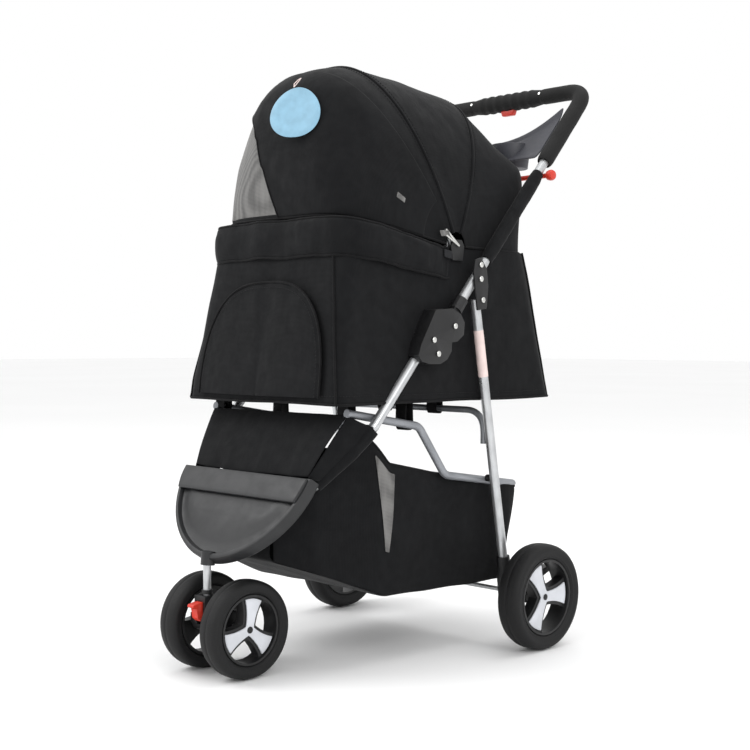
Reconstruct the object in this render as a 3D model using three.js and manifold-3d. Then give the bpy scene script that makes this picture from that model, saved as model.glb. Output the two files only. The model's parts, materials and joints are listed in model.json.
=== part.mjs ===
// Three-wheeled folding pet stroller: tube frame, castering twin front wheels, fabric cabin with a tilting hood.
// Millimetres, +Z up, the front faces -Y, the left side is +X. The origin is on the floor, under the middle.
import * as THREE from "three";
import { mergeVertices } from "three/addons/utils/BufferGeometryUtils.js";
import Module from "manifold-3d";

const wasm = await Module();
wasm.setup();

// ---- driving dimensions -------------------------------------------------------------------------------------
const MIDDLE_Y = 87.35; // moves the layout below, drawn from the frame's own datum, over the origin
const GAP = 0.3; // left between pieces that touch
const SIDES = 12; // facets round a tube

const FRAME_SLOPE = 1.14; // rise over run of the front leg and of the handle tube
const SLOPE_ANGLE = Math.atan(FRAME_SLOPE);
const LEG_RISE = 462; // height of the front leg's line at y = 0
const HANDLE_OFFSET = { y: -4.4, z: 3.9 }; // from the fold pivot to the start of the handle's line
const TUBE_RADIUS = 8;
const FRONT_LEG_X = 176;
const HANDLE_X = 182;
const REAR_LEG_X = 183;

const FOLD_PIVOT = { y: 89, z: 534 };
const REAR_PIVOT = { y: 150, z: 611 };
const LINK_PIVOT = { y: -61, z: 392 };
const LINK_JOINT = { y: 201, z: 282 };
const HOOD_PIVOT = { y: 120, z: 664 };

const REAR_AXLE = { y: 250, z: 87.5 };
const BRAKE_PIVOT = { y: 268, z: 110 };
const FRONT_AXLE = { y: -221, z: 75 };
const STEM_Y = -254;
const AXLE_RADIUS = 4;
const AXLE_FIT = AXLE_RADIUS + GAP; // the bore round an axle
const TUBE_FIT = TUBE_RADIUS + GAP; // the bore round a tube
const FRONT_WHEEL = { radius: 75, width: 40, x: 50, turn: 80 };
const REAR_WHEEL = { radius: 87.5, width: 44, x: 240, turn: 120 };

const LINK_X = 160;
const LINK_RADIUS = 6.5;

const CABIN_HALF = 163;
const CLOTH = 3;
const HOOD_WIDE = 168;
const HOOD_HIGH = 293;
const HOOD_SQUARENESS = 0.85; // exponent of the hood's arch: 1 is an ellipse, less is squarer
const HOOD_FRONT_ANGLE = 112.3;
const HOOD_REAR_ANGLE = 67.9;
const BOW_RADIUS = 4;

// ---- finishes -----------------------------------------------------------------------------------------------
const finish = (color, roughness, metalness = 0) => new THREE.MeshStandardMaterial({ color, roughness, metalness });
const FINISH = {
  steel: finish(0xa9adb2, 0.35, 0.8),
  link: finish(0x8f9296, 0.5, 0.6),
  dark: finish(0x1d1e20, 0.5),
  tray: finish(0x34363a, 0.45),
  foam: finish(0x232325, 0.9),
  cup: finish(0x55555f, 0.5),
  red: finish(0xc83c32, 0.4),
  cap: finish(0xd9dce2, 0.3, 0.3),
  cloth: finish(0x212225, 0.95),
  pad: finish(0x2c2d31, 0.95),
  tag: finish(0x91bed7, 0.6),
};

// ---- solids -------------------------------------------------------------------------------------------------
function solid(geometry) {
  const shell = geometry.clone();
  shell.deleteAttribute("normal");
  shell.deleteAttribute("uv");
  const merged = mergeVertices(shell, 1e-3);
  const vertProperties = merged.getAttribute("position").array;
  const triVerts = new Uint32Array(merged.index.array);
  return new wasm.Manifold(new wasm.Mesh({ numProp: 3, vertProperties, triVerts }));
}

const join = (...geometries) => surface(geometries.map(solid).reduce((a, b) => a.add(b)));
const cut = (geometry, ...tools) => surface(tools.map(solid).reduce((a, b) => a.subtract(b), solid(geometry)));
const common = (...geometries) => surface(geometries.map(solid).reduce((a, b) => a.intersect(b)));

function surface(manifold) {
  const mesh = manifold.getMesh();
  const geometry = new THREE.BufferGeometry();
  geometry.setAttribute("position", new THREE.BufferAttribute(new Float32Array(mesh.vertProperties), 3));
  geometry.setIndex(new THREE.BufferAttribute(new Uint32Array(mesh.triVerts), 1));
  geometry.computeVertexNormals();
  return geometry;
}

// A curve that passes through its stations one by one, so that a straight stretch costs one step of an extrusion.
class Route extends THREE.Curve {
  constructor(stations) {
    super();
    this.stations = stations;
    this.steps = stations.length - 1;
  }
  getPoint(t) {
    const at = Math.min(t * this.steps, this.steps);
    const i = Math.min(Math.floor(at), this.steps - 1);
    return this.stations[i].clone().lerp(this.stations[i + 1], at - i);
  }
  getPointAt(u) {
    return this.getPoint(u);
  }
  getTangentAt(u) {
    const i = Math.round(u * this.steps);
    const tangent = new THREE.Vector3();
    if (i > 0) tangent.add(this.stations[i].clone().sub(this.stations[i - 1]).normalize());
    if (i < this.steps) tangent.add(this.stations[i + 1].clone().sub(this.stations[i]).normalize());
    return tangent.normalize();
  }
}

const at = (x, y, z) => new THREE.Vector3(x, y, z);

// The stations of a path through the corners, each rounded by the bend radius.
function bend(corners, radius, steps = 6) {
  const stations = [corners[0]];
  for (let i = 1; i < corners.length - 1; i++) {
    const back = corners[i - 1].clone().sub(corners[i]).normalize();
    const on = corners[i + 1].clone().sub(corners[i]).normalize();
    const reach = radius / Math.tan(back.angleTo(on) / 2);
    const from = corners[i].clone().addScaledVector(back, reach);
    const to = corners[i].clone().addScaledVector(on, reach);
    stations.push(...new THREE.QuadraticBezierCurve3(from, corners[i], to).getPoints(steps));
  }
  return [...stations, corners[corners.length - 1]];
}

// A path that ends at the middle, or just short of it, continued by its mirror image.
function mirrored(points) {
  const other = points.toReversed().filter((p) => p.x > 1);
  return [...points, ...other.map((p) => at(-p.x, p.y, p.z))];
}

function circle(radius, sides = SIDES) {
  const corner = (i) => new THREE.Vector2(radius, 0).rotateAround(new THREE.Vector2(), (2 * Math.PI * i) / sides);
  return new THREE.Shape(Array.from({ length: sides }, (_, i) => corner(i)));
}

function tube(stations, radius, sides = SIDES) {
  const route = new Route(stations);
  return new THREE.ExtrudeGeometry(circle(radius, sides), { steps: route.steps, extrudePath: route });
}

// A rod with its axis along X, from one x to another, at a place of the side view.
function rod(from, to, { y, z }, radius, sides = SIDES) {
  return new THREE.ExtrudeGeometry(circle(radius, sides), { depth: to - from, bevelEnabled: false })
    .rotateY(Math.PI / 2)
    .translate(from, y, z);
}

// A plate of a side-view outline, given as [y, z] corners, from one x to another.
function plate(outline, from, to) {
  return sideways(new THREE.Shape(outline.map(([y, z]) => new THREE.Vector2(y, z))), from, to);
}

function sideways(shape, from, to, curveSegments = 12) {
  const side = new THREE.Matrix4().makeBasis(at(0, 1, 0), at(0, 0, 1), at(1, 0, 0));
  return new THREE.ExtrudeGeometry(shape, { depth: to - from, bevelEnabled: false, curveSegments })
    .applyMatrix4(side)
    .translate(from, 0, 0);
}

function box(low, high) {
  const size = high.map((v, i) => v - low[i]);
  const middle = high.map((v, i) => (v + low[i]) / 2);
  return new THREE.BoxGeometry(...size).translate(...middle);
}

const onLeg = (x, y) => at(x, y, LEG_RISE + FRAME_SLOPE * y);
const handleAt = (x, along, lift = 0) =>
  at(
    x,
    FOLD_PIVOT.y + HANDLE_OFFSET.y + along * Math.cos(SLOPE_ANGLE) - lift * Math.sin(SLOPE_ANGLE),
    FOLD_PIVOT.z + HANDLE_OFFSET.z + along * Math.sin(SLOPE_ANGLE) + lift * Math.cos(SLOPE_ANGLE),
  );
const rearLegAt = (z) => at(REAR_LEG_X, 153.4 - 0.1734 * (z - 559), z);
const onSlope = (points) => points.map(([x, along, lift]) => handleAt(x, along, lift));

const model = new THREE.Group();
model.position.y = -MIDDLE_Y;

function add(name, geometry, material) {
  const mesh = new THREE.Mesh(geometry, material);
  mesh.name = name;
  model.add(mesh);
}

// A piece made for the left side (+X), and its mirror image on the right.
function addPair(name, geometry, material) {
  add(`${name}_left`, geometry, material);
  const mirror = new THREE.Mesh(geometry.clone(), material);
  mirror.scale.x = -1;
  mirror.name = `${name}_right`;
  model.add(mirror);
}

// ---- front frame --------------------------------------------------------------------------------------------
const LEG_TOP_Y = 24;
const U_HALF = [
  [FRONT_LEG_X, -40], [FRONT_LEG_X - 1, -72], [160, -104], [127, -148], [84, -192], [36, -220], [0, -226],
];

// Both legs bend inwards and meet in front of the stem.
function legsBelowKnuckles(steps) {
  const half = U_HALF.map(([x, y]) => onLeg(x, y));
  return new THREE.CatmullRomCurve3(mirrored(half), false, "centripetal").getPoints(steps);
}

function frontLegFrame() {
  const [left, right] = [onLeg(FRONT_LEG_X, LEG_TOP_Y), onLeg(-FRONT_LEG_X, LEG_TOP_Y)];
  return tube([left, ...legsBelowKnuckles(30), right], TUBE_RADIUS);
}

// The moulded shield over the U bend lies in its own plane, a little steeper than the legs.
const TRAY = { angle: THREE.MathUtils.degToRad(58), z: 177, length: 150, half: 152, shell: 4, skirt: 15, lip: 6 };
const TRAY_SHARPNESS = { x: 1.12, y: 0.98 }; // exponents of the outline: 1 and 1 are half an ellipse
const TRAY_STEPS = 16;

function trayOutline(inset) {
  const corner = (_, i) => {
    const a = (Math.PI * i) / TRAY_STEPS;
    const x = (TRAY.half - inset) * Math.sign(Math.cos(a)) * Math.abs(Math.cos(a)) ** TRAY_SHARPNESS.x;
    return new THREE.Vector2(x, TRAY.length - inset - (TRAY.length - 2 * inset) * Math.sin(a) ** TRAY_SHARPNESS.y);
  };
  return new THREE.Shape(Array.from({ length: TRAY_STEPS + 1 }, corner));
}

function frontTray() {
  const slab = (inset, from, to) =>
    new THREE.ExtrudeGeometry(trayOutline(inset), { depth: to - from, bevelEnabled: false }).translate(0, 0, from);
  const dish = cut(slab(0, -TRAY.skirt, TRAY.lip), slab(TRAY.shell, -TRAY.skirt - 1, 1));
  dish.rotateX(TRAY.angle).translate(0, STEM_Y, TRAY.z);
  const boss = new THREE.CylinderGeometry(11, 9, 22, SIDES);
  boss.rotateX(Math.PI / 2).translate(0, STEM_Y + 1, TRAY.z + 3);
  return cut(join(dish, boss), tube(legsBelowKnuckles(36), TUBE_RADIUS + 2 * GAP));
}

// Its lower back corner is cut away, so that the handle's sleeve passes it when the handle folds down.
const KNUCKLE_OUTLINE = [
  [45, 559], [12, 505], [6, 488], [14, 478], [31, 474], [56, 474], [72, 481],
  [82, 494], [83, 508], [96, 509.5], [111, 520], [113, 540], [104, 553], [84, 562],
];
const SLOT_OUTLINE = [[62, 500], [140, 470], [170, 600], [70, 600], [58, 560]];
const KNUCKLE_X = { inner: 166, outer: 194, slotFrom: 174.6, slotTo: 189.4 };
const TONGUE_RADIUS = 13;

// The fork that is riveted to the front leg and holds the handle's tongue at the fold pivot.
function lowerKnuckle() {
  const body = plate(KNUCKLE_OUTLINE, KNUCKLE_X.inner, KNUCKLE_X.outer);
  const slot = plate(SLOT_OUTLINE, KNUCKLE_X.slotFrom, KNUCKLE_X.slotTo);
  const leg = tube([onLeg(FRONT_LEG_X, -30), onLeg(FRONT_LEG_X, LEG_TOP_Y + GAP)], TUBE_FIT);
  const rivets = [[40, 512], [50, 490], [FOLD_PIVOT.y, FOLD_PIVOT.z]].map(([y, z]) =>
    rod(KNUCKLE_X.outer - 1, KNUCKLE_X.outer + 2, { y, z }, 4, 8),
  );
  return join(cut(body, slot, leg), ...rivets);
}

// ---- handle -------------------------------------------------------------------------------------------------
const SOCKET_FROM = 28;
const SOCKET_TO = 52;
const HANDLE_END = 562; // along the slope, from the fold pivot to the handlebar
const CORNER_RADIUS = 46;

function upperKnuckle() {
  const tongue = rod(KNUCKLE_X.slotFrom + 1, KNUCKLE_X.slotTo - 1, FOLD_PIVOT, TONGUE_RADIUS, 20);
  const [a, b] = [handleAt(0, 0), handleAt(0, SOCKET_FROM + 6)];
  const across = at(0, -Math.sin(SLOPE_ANGLE), Math.cos(SLOPE_ANGLE)).multiplyScalar(9);
  const strip = [a.clone().add(across), a.clone().sub(across), b.clone().sub(across), b.clone().add(across)];
  const neck = plate(strip.map((p) => [p.y, p.z]).toReversed(), KNUCKLE_X.slotFrom + 1, KNUCKLE_X.slotTo - 1);
  const sleeve = tube(onSlope([[HANDLE_X, SOCKET_FROM, 0], [HANDLE_X, SOCKET_TO, 0]]), TUBE_RADIUS + 3);
  const bore = tube(onSlope([[HANDLE_X, SOCKET_FROM + 6, 0], [HANDLE_X, SOCKET_TO + 1, 0]]), TUBE_FIT);
  return cut(join(tongue, neck, sleeve), bore);
}

// The left half of the handle's centreline, from a place along the slope to an x on the handlebar.
function halfHandle(from, endX) {
  const corners = onSlope([[HANDLE_X, from, 0], [HANDLE_X, HANDLE_END, 0], [0, HANDLE_END, 0]]);
  return [...bend(corners, CORNER_RADIUS, 7).slice(0, -1), handleAt(endX, HANDLE_END)];
}

const handleTube = () => tube(mirrored(halfHandle(SOCKET_FROM + 6 + GAP, 0)), TUBE_RADIUS);

const GRIP = { from: 372, endX: 82, radius: 14, sides: 14 };

function grip() {
  const outside = tube(halfHandle(GRIP.from, GRIP.endX), GRIP.radius, GRIP.sides);
  return cut(outside, tube(halfHandle(GRIP.from - 1, GRIP.endX - 1), TUBE_FIT));
}

const HOUSING_HALF = 80;
const HOUSING_RADIUS = 15.5;

function handleHousing() {
  const middle = handleAt(0, HANDLE_END);
  const body = new THREE.CapsuleGeometry(HOUSING_RADIUS, 2 * (HOUSING_HALF - HOUSING_RADIUS), 4, 16)
    .rotateZ(Math.PI / 2)
    .translate(0, middle.y, middle.z);
  const slot = box([-19, middle.y - 8, middle.z - 24], [19, middle.y + 8, middle.z - 9.2]);
  const bore = rod(-HOUSING_HALF - 1, HOUSING_HALF + 1, middle, TUBE_FIT);
  return cut(body, bore, slot);
}

function foldTrigger() {
  const middle = handleAt(0, HANDLE_END);
  const shape = new THREE.Shape().moveTo(-17, -14.5).lineTo(-13, -25).lineTo(13, -25).lineTo(17, -14.5).closePath();
  return new THREE.ExtrudeGeometry(shape, { depth: 10, bevelEnabled: false })
    .rotateX(Math.PI / 2)
    .translate(0, middle.y + 5, middle.z);
}

// The cup tray hangs between the handle tubes: a dished deck with two wells.
const CUP = { from: 376, to: 452, half: 165, wellX: 84, wellRadius: 36, depth: 44, wall: 2.5 };

function cupTray() {
  const low = handleAt(0, CUP.from);
  const high = handleAt(0, CUP.to);
  const outline = [[low.y, low.z], [high.y, high.z], [high.y - 9, high.z + 9], [low.y - 9, low.z + 9]];
  const deck = plate(outline, -CUP.half, CUP.half);
  const centre = at(0, (low.y + high.y) / 2, (low.z + high.z) / 2);
  const well = (radius, from, to) =>
    [-CUP.wellX, CUP.wellX].map((x) =>
      new THREE.CylinderGeometry(radius, radius * 0.86, to - from, 20)
        .rotateX(Math.PI / 2)
        .translate(x, centre.y, centre.z + (from + to) / 2),
    );
  const cups = well(CUP.wellRadius, -CUP.depth + 12, 12);
  const hollows = well(CUP.wellRadius - CUP.wall, -CUP.depth + 12 + CUP.wall, 60);
  return cut(join(deck, ...cups), ...hollows);
}

// The bar that is lifted to let the handle fold bows down a little, and has a round knob at each end.
const LOCK = { along: 354, lift: -14, bow: -18, radius: 3.5, knobFrom: 193, knobTo: 203, knobRadius: 8 };

function lockBar() {
  const half = [[LOCK.knobFrom + 4, LOCK.lift], [150, LOCK.lift], [0, LOCK.bow]];
  const corners = mirrored(half.map(([x, lift]) => handleAt(x, LOCK.along, lift)));
  const end = handleAt(0, LOCK.along, LOCK.lift);
  const spans = [[LOCK.knobFrom, LOCK.knobTo], [-LOCK.knobTo, -LOCK.knobFrom]];
  const knobs = spans.map(([from, to]) => rod(from, to, end, LOCK.knobRadius));
  return join(tube(bend(corners, 60, 4), LOCK.radius, 8), ...knobs);
}

// ---- rear frame ---------------------------------------------------------------------------------------------
const REAR_LEG_TOP = 578;
const REAR_LEG_FOOT = 118;

const rearLeg = () => tube([rearLegAt(REAR_LEG_FOOT), rearLegAt(REAR_LEG_TOP)], TUBE_RADIUS);

function legBracket() {
  const outline = [[144, 560], [166, 563], [170, 600], [166, 628], [152, 646], [138, 642], [134, 622], [138, 598]];
  const face = { from: REAR_LEG_X + TUBE_FIT, to: REAR_LEG_X + TUBE_RADIUS + 4 };
  const places = [{ y: 155, z: 577 }, REAR_PIVOT, { y: 150, z: 634 }];
  const rivets = places.map((place) => rod(face.to - 1, face.to + 2, place, 4.5, 8));
  return join(plate(outline, face.from, face.to), ...rivets);
}

function rearCrossbar() {
  const end = rearLegAt(345);
  const corners = [at(168.5, end.y, 340), at(168.5, end.y, 395), at(0, end.y, 395)];
  return tube(mirrored(bend(corners, 38).slice(0, -1)), 5.5);
}

function axleFoot() {
  const leg = tube([rearLegAt(106), rearLegAt(150)], TUBE_RADIUS + 3.5);
  const hub = rod(172, 215, REAR_AXLE, 15, 20);
  const foot = rearLegAt(112);
  const front = [[foot.y - 11, 122], [foot.y - 6, 82], [REAR_AXLE.y, 73]];
  const back = [[REAR_AXLE.y + 16, 82], [276, 106], [272, 118], [foot.y + 12, 128]];
  const web = plate([...front, ...back], 173, 193);
  const bore = tube([rearLegAt(REAR_LEG_FOOT - GAP), rearLegAt(152)], TUBE_FIT);
  const body = cut(join(leg, hub, web), rod(194, 220, BRAKE_PIVOT, 13, 16));
  return cut(join(body, rod(192, 195.7, BRAKE_PIVOT, 4, 8)), bore, rod(160, 230, REAR_AXLE, AXLE_FIT));
}

// The foot brake is a cam with a pedal, hinged on its own pin behind the axle.
function brakePedal() {
  const pedal = [[262, 106], [272, 103], [318, 120], [320, 127], [312, 128], [270, 118], [263, 116]];
  return join(rod(196, 213, BRAKE_PIVOT, 9, 16), plate(pedal, 196, 213));
}

// ---- lower link ---------------------------------------------------------------------------------------------
const LINK_SIDE = [[-115, 401], [42, 375], [104, 293], [290, 265]];

function lowerLink() {
  const corners = LINK_SIDE.map(([y, z]) => at(LINK_X, y, z));
  const half = bend([...corners, corners.at(-1).clone().setX(0)], 26, 5).slice(0, -1);
  const pinEnd = FRONT_LEG_X - TUBE_FIT;
  const pins = [[LINK_X, pinEnd], [-pinEnd, -LINK_X]].map(([from, to]) => rod(from, to, LINK_PIVOT, 4, 8));
  return join(tube(mirrored(half), LINK_RADIUS), ...pins);
}

const linkSpacer = () => rod(LINK_X + LINK_RADIUS + GAP, REAR_LEG_X - TUBE_FIT, LINK_JOINT, 6);

// ---- front caster -------------------------------------------------------------------------------------------
const STEM = { radius: 6, from: 112, to: 168.5 };
const FORK_HALF = 23;
const FORK_OUTLINE = [
  [-268, 112], [-268, 84], [-262, 72], [-238, 60], [-221, 58], [-206, 66],
  [-204, 84], [-214, 98], [-232, 108], [-240, 124], [-268, 124],
];
const LEVER_OUTLINE = [
  [-261, 115.5], [-272, 115.5], [-285, 113], [-286, 109], [-279, 106], [-277, 92], [-272, 87], [-261, 87],
];

const frontStem = () => tube([STEM.from, STEM.from + 16, STEM.to].map((z) => at(0, STEM_Y, z)), STEM.radius);

function casterFork() {
  const waist = [[13, 40], [-40, -13]].map(([from, to]) => box([from, -300, 96], [to, -190, 140]));
  const stemHole = tube([at(0, STEM_Y, STEM.from - GAP), at(0, STEM_Y, 140)], STEM.radius + GAP);
  const lever = box([-8, -275, 80], [8, -260.6, 116]);
  const body = plate(FORK_OUTLINE, -FORK_HALF, FORK_HALF);
  return cut(body, ...waist, stemHole, lever, rod(-40, 40, FRONT_AXLE, AXLE_FIT));
}

const swivelLock = () => plate(LEVER_OUTLINE, -7.5, 7.5);

// ---- wheels -------------------------------------------------------------------------------------------------
const TYRE_FACETS = 36;
const HUB_RATIO = 0.72; // the hub's radius over the tyre's

function tyre({ radius, width, x }) {
  const half = width / 2;
  const inner = radius * HUB_RATIO;
  const profile = [
    [inner, -half * 0.8], [radius * 0.8, -half * 0.97], [radius * 0.92, -half], [radius * 0.985, -half * 0.62],
    [radius, -half * 0.3], [radius, half * 0.3], [radius * 0.985, half * 0.62], [radius * 0.92, half],
    [radius * 0.8, half * 0.97], [inner, half * 0.8], [inner, -half * 0.8],
  ];
  const halfFacet = Math.PI / TYRE_FACETS; // turned by half a facet, so that the tyre stands on a flat
  const points = profile.map(([r, along]) => new THREE.Vector2(r / Math.cos(halfFacet), along));
  return new THREE.LatheGeometry(points, TYRE_FACETS, halfFacet).rotateZ(-Math.PI / 2).translate(x, 0, 0);
}

// One arm of the three-armed cap, flaring from the middle to the rim.
function armShape(rim, root, tip) {
  const spread = Math.asin(tip / rim);
  return new THREE.Shape()
    .moveTo(0, -root)
    .quadraticCurveTo(rim * 0.5, -root * 0.8, rim * Math.cos(spread), -tip)
    .absarc(0, 0, rim, -spread, spread, false)
    .quadraticCurveTo(rim * 0.5, root * 0.8, 0, root)
    .closePath();
}

function arms(rim, root, tip, from, to, turn) {
  const shape = armShape(rim, root, tip);
  const arm = (angle) => sideways(shape, from, to, 5).rotateX(angle);
  return [0, 120, 240].map((step) => arm(THREE.MathUtils.degToRad(turn + step)));
}

function hub({ radius, width, x, turn }) {
  const rim = radius * HUB_RATIO - GAP;
  const half = width / 2;
  const disc = rod(x - half * 0.78, x + half * 0.78, { y: 0, z: 0 }, rim, 36);
  const dish = rod(x - width, x + width, { y: 0, z: 0 }, rim - 4, 36);
  const ring = cut(disc, dish);
  const spokes = arms(rim - 2, radius * 0.17, radius * 0.3, x - half * 0.4, x + half * 0.45, turn);
  const boss = rod(x - half * 0.78, x + half * 0.45, { y: 0, z: 0 }, radius * 0.16, 16);
  return cut(join(ring, boss, ...spokes), rod(x - width, x + half * 0.3, { y: 0, z: 0 }, AXLE_FIT));
}

function spokeCap({ radius, width, x, turn }) {
  const face = x + (width / 2) * 0.45 + GAP;
  return join(...arms(radius * 0.63, radius * 0.1, radius * 0.21, face, face + 3, turn));
}

function addWheels(name, wheel, axle) {
  const make = { tyre: [tyre, FINISH.foam], hub: [hub, FINISH.dark], spoke_cap: [spokeCap, FINISH.cap] };
  for (const [piece, [shape, material]] of Object.entries(make))
    addPair(`${name}_${piece}`, shape(wheel).translate(0, axle.y, axle.z), material);
}

// ---- cabin --------------------------------------------------------------------------------------------------
const FLOOR_Z = 423;
const PAD_HALF = 152; // the folded link's front ends rise beside the pad
const RIM = { frontTop: 699, frontLow: 642, endY: 86, endTop: 660, endLow: 612, thick: 6 };
const FRONT_WALL = [[-152, FLOOR_Z + 4], [-148.8, FLOOR_Z + 4], [-115.5, 697], [-119, 697]];
const SIDE_OUTLINE = [[-148, FLOOR_Z + 4], [350, FLOOR_Z + 8], [310, 630], [301, 662], [86, 661], [-114, 697]];
const REAR_WALL = [
  [350.6, FLOOR_Z + 8], [353.6, FLOOR_Z + 8], [313.5, 632], [304.5, 662], [301.5, 662], [310.5, 631],
];

function cabinRim() {
  const { frontTop, frontLow, endY, endTop, endLow } = RIM;
  const outline = [[-128, frontLow], [endY, endLow], [endY, endTop], [-128, frontTop]];
  const front = [[-138, frontLow], [-126.4, frontLow], [-119.5, frontTop], [-133, frontTop]];
  return join(
    plate(outline, CABIN_HALF + GAP, CABIN_HALF + RIM.thick),
    plate(outline, -CABIN_HALF - RIM.thick, -CABIN_HALF - GAP),
    plate(front, -CABIN_HALF - RIM.thick, CABIN_HALF + RIM.thick),
  );
}

function addCabin() {
  add("cabin_floor", box([-CABIN_HALF, -152, FLOOR_Z - 3], [CABIN_HALF, 352, FLOOR_Z + 3]), FINISH.cloth);
  add("cabin_pad", box([-PAD_HALF, -138, FLOOR_Z + 4], [PAD_HALF, 336, FLOOR_Z + 28]), FINISH.pad);
  add("cabin_front_wall", plate(FRONT_WALL, -CABIN_HALF + CLOTH + GAP, CABIN_HALF - CLOTH - GAP), FINISH.cloth);
  add("cabin_rear_wall", plate(REAR_WALL, -CABIN_HALF, CABIN_HALF), FINISH.cloth);
  addPair("cabin_side", plate(SIDE_OUTLINE, CABIN_HALF - CLOTH, CABIN_HALF), FINISH.cloth);
  add("cabin_rim", cabinRim(), FINISH.cloth);
}

// ---- hood ---------------------------------------------------------------------------------------------------
const HOOD_SIDE = [
  [-119, 703], [-122, 750], [-119, 800], [-105, 872], [-88, 918], [-52, 946], [5, 957],
  [110, 952], [225, 935], [262, 893], [319, 806], [318, 790], [305, 664], [86, 664],
];
const TAG = { radius: 38, thick: 1.6, tilt: 0.32, x: 12, y: -110, z: 874 };

function arch(inset) {
  const points = [];
  for (let i = 0; i <= 20; i++) {
    const a = (Math.PI * i) / 20;
    const x = (HOOD_WIDE - inset) * Math.sign(Math.cos(a)) * Math.abs(Math.cos(a)) ** HOOD_SQUARENESS;
    points.push(new THREE.Vector2(x, HOOD_PIVOT.z + (HOOD_HIGH - inset) * Math.sin(a) ** HOOD_SQUARENESS));
  }
  return new THREE.ExtrudeGeometry(new THREE.Shape(points), { depth: 700, bevelEnabled: false })
    .rotateX(Math.PI / 2)
    .translate(0, 500, 0);
}

// The side outline moved in by a wall, and opened downwards.
function hoodHollow() {
  const centre = new THREE.Vector2(100, 664);
  const points = HOOD_SIDE.map(([y, z]) => {
    const p = new THREE.Vector2(y, z).sub(centre);
    p.setLength(Math.max(p.length() - 1.2 * CLOTH, 1)).add(centre);
    return [p.x, z < 710 ? z - 60 : p.y];
  });
  return common(plate(points.toReversed(), -200, 200), arch(CLOTH));
}

// One sector of the hood's shell, between two angles about the hood pivot.
function hoodPanel(from, to) {
  const reach = 600;
  const corner = (degrees) => {
    const a = THREE.MathUtils.degToRad(degrees);
    return [HOOD_PIVOT.y + reach * Math.cos(a), HOOD_PIVOT.z + reach * Math.sin(a)];
  };
  const steps = [from, from + (to - from) / 2, to].map(corner);
  const sector = plate([[HOOD_PIVOT.y, HOOD_PIVOT.z], ...steps], -200, 200);
  const outside = common(plate(HOOD_SIDE.toReversed(), -200, 200), arch(0));
  return common(cut(outside, hoodHollow(), rod(-200, 200, HOOD_PIVOT, 9)), sector);
}

// A bow stands in a plane through the hood pivot, and its feet carry pins that point outwards.
function bow(degrees, radius, half, pinEnd) {
  const a = THREE.MathUtils.degToRad(degrees);
  const stations = [];
  for (let i = 0; i <= 24; i++) {
    const t = (Math.PI * i) / 24;
    const x = half * Math.sign(Math.cos(t)) * Math.abs(Math.cos(t)) ** HOOD_SQUARENESS;
    const r = radius * Math.sin(t) ** HOOD_SQUARENESS;
    stations.push(at(x, HOOD_PIVOT.y + r * Math.cos(a), HOOD_PIVOT.z + r * Math.sin(a)));
  }
  const pins = [rod(half - 2, pinEnd, HOOD_PIVOT, 2.5, 8), rod(-pinEnd, 2 - half, HOOD_PIVOT, 2.5, 8)];
  return join(tube(stations, BOW_RADIUS, 8), ...pins);
}

function hoodHinge() {
  const outline = [[108, 640], [132, 640], [136, 664], [130, 674], [110, 674], [104, 664]];
  const face = HOOD_WIDE + 2 * GAP;
  return join(plate(outline, face, face + 4), rod(CABIN_HALF + GAP, face + 1, { y: HOOD_PIVOT.y, z: 649 }, 7));
}

function addHood() {
  add("hood_front_panel", hoodPanel(HOOD_FRONT_ANGLE + 0.2, 190), FINISH.cloth);
  add("hood_middle_panel", hoodPanel(HOOD_REAR_ANGLE + 0.2, HOOD_FRONT_ANGLE - 0.2), FINISH.cloth);
  add("hood_rear_panel", hoodPanel(-5, HOOD_REAR_ANGLE - 0.2), FINISH.cloth);
  add("hood_front_bow", bow(HOOD_FRONT_ANGLE, 297, HOOD_WIDE - 11, HOOD_WIDE + GAP), FINISH.steel);
  add("hood_rear_bow", bow(HOOD_REAR_ANGLE, 272, HOOD_WIDE - 23, HOOD_WIDE - 17), FINISH.steel);
  addPair("hood_hinge", hoodHinge(), FINISH.dark);
  const tag = new THREE.CylinderGeometry(TAG.radius, TAG.radius, TAG.thick, 28);
  add("hang_tag", tag.rotateX(-TAG.tilt).translate(TAG.x, TAG.y, TAG.z), FINISH.tag);
}

// ---- basket -------------------------------------------------------------------------------------------------
const BASKET_SIDE = [
  [-22, 112], [262, 104], [279, 262], [120, 288], [-12, 316], [-86, 343], [-184, 231], [-186, 222],
];
const BASKET_HOLLOW = [[-20, 115], [259, 107], [276, 400], [-80, 400], [-184, 260], [-182, 226]];
const BASKET_PLAN = [
  [149, 279], [149, -40], [118, -140], [60, -190], [-60, -190], [-118, -140], [-149, -40], [-149, 279],
];

function basketPlan(inset) {
  const moved = (v) => v - Math.sign(v) * inset;
  const shape = new THREE.Shape(BASKET_PLAN.map(([x, y]) => new THREE.Vector2(moved(x), moved(y))));
  return new THREE.ExtrudeGeometry(shape, { depth: 400, bevelEnabled: false }).translate(0, 0, 50);
}

function basket() {
  const outside = common(plate(BASKET_SIDE, -200, 200), basketPlan(0));
  return cut(outside, common(plate(BASKET_HOLLOW, -200, 200), basketPlan(CLOTH)));
}

const basketFlap = () => plate([[-172, 309], [-120, 391], [-122, 393], [-174, 311]].toReversed(), -142, 142);

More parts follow.
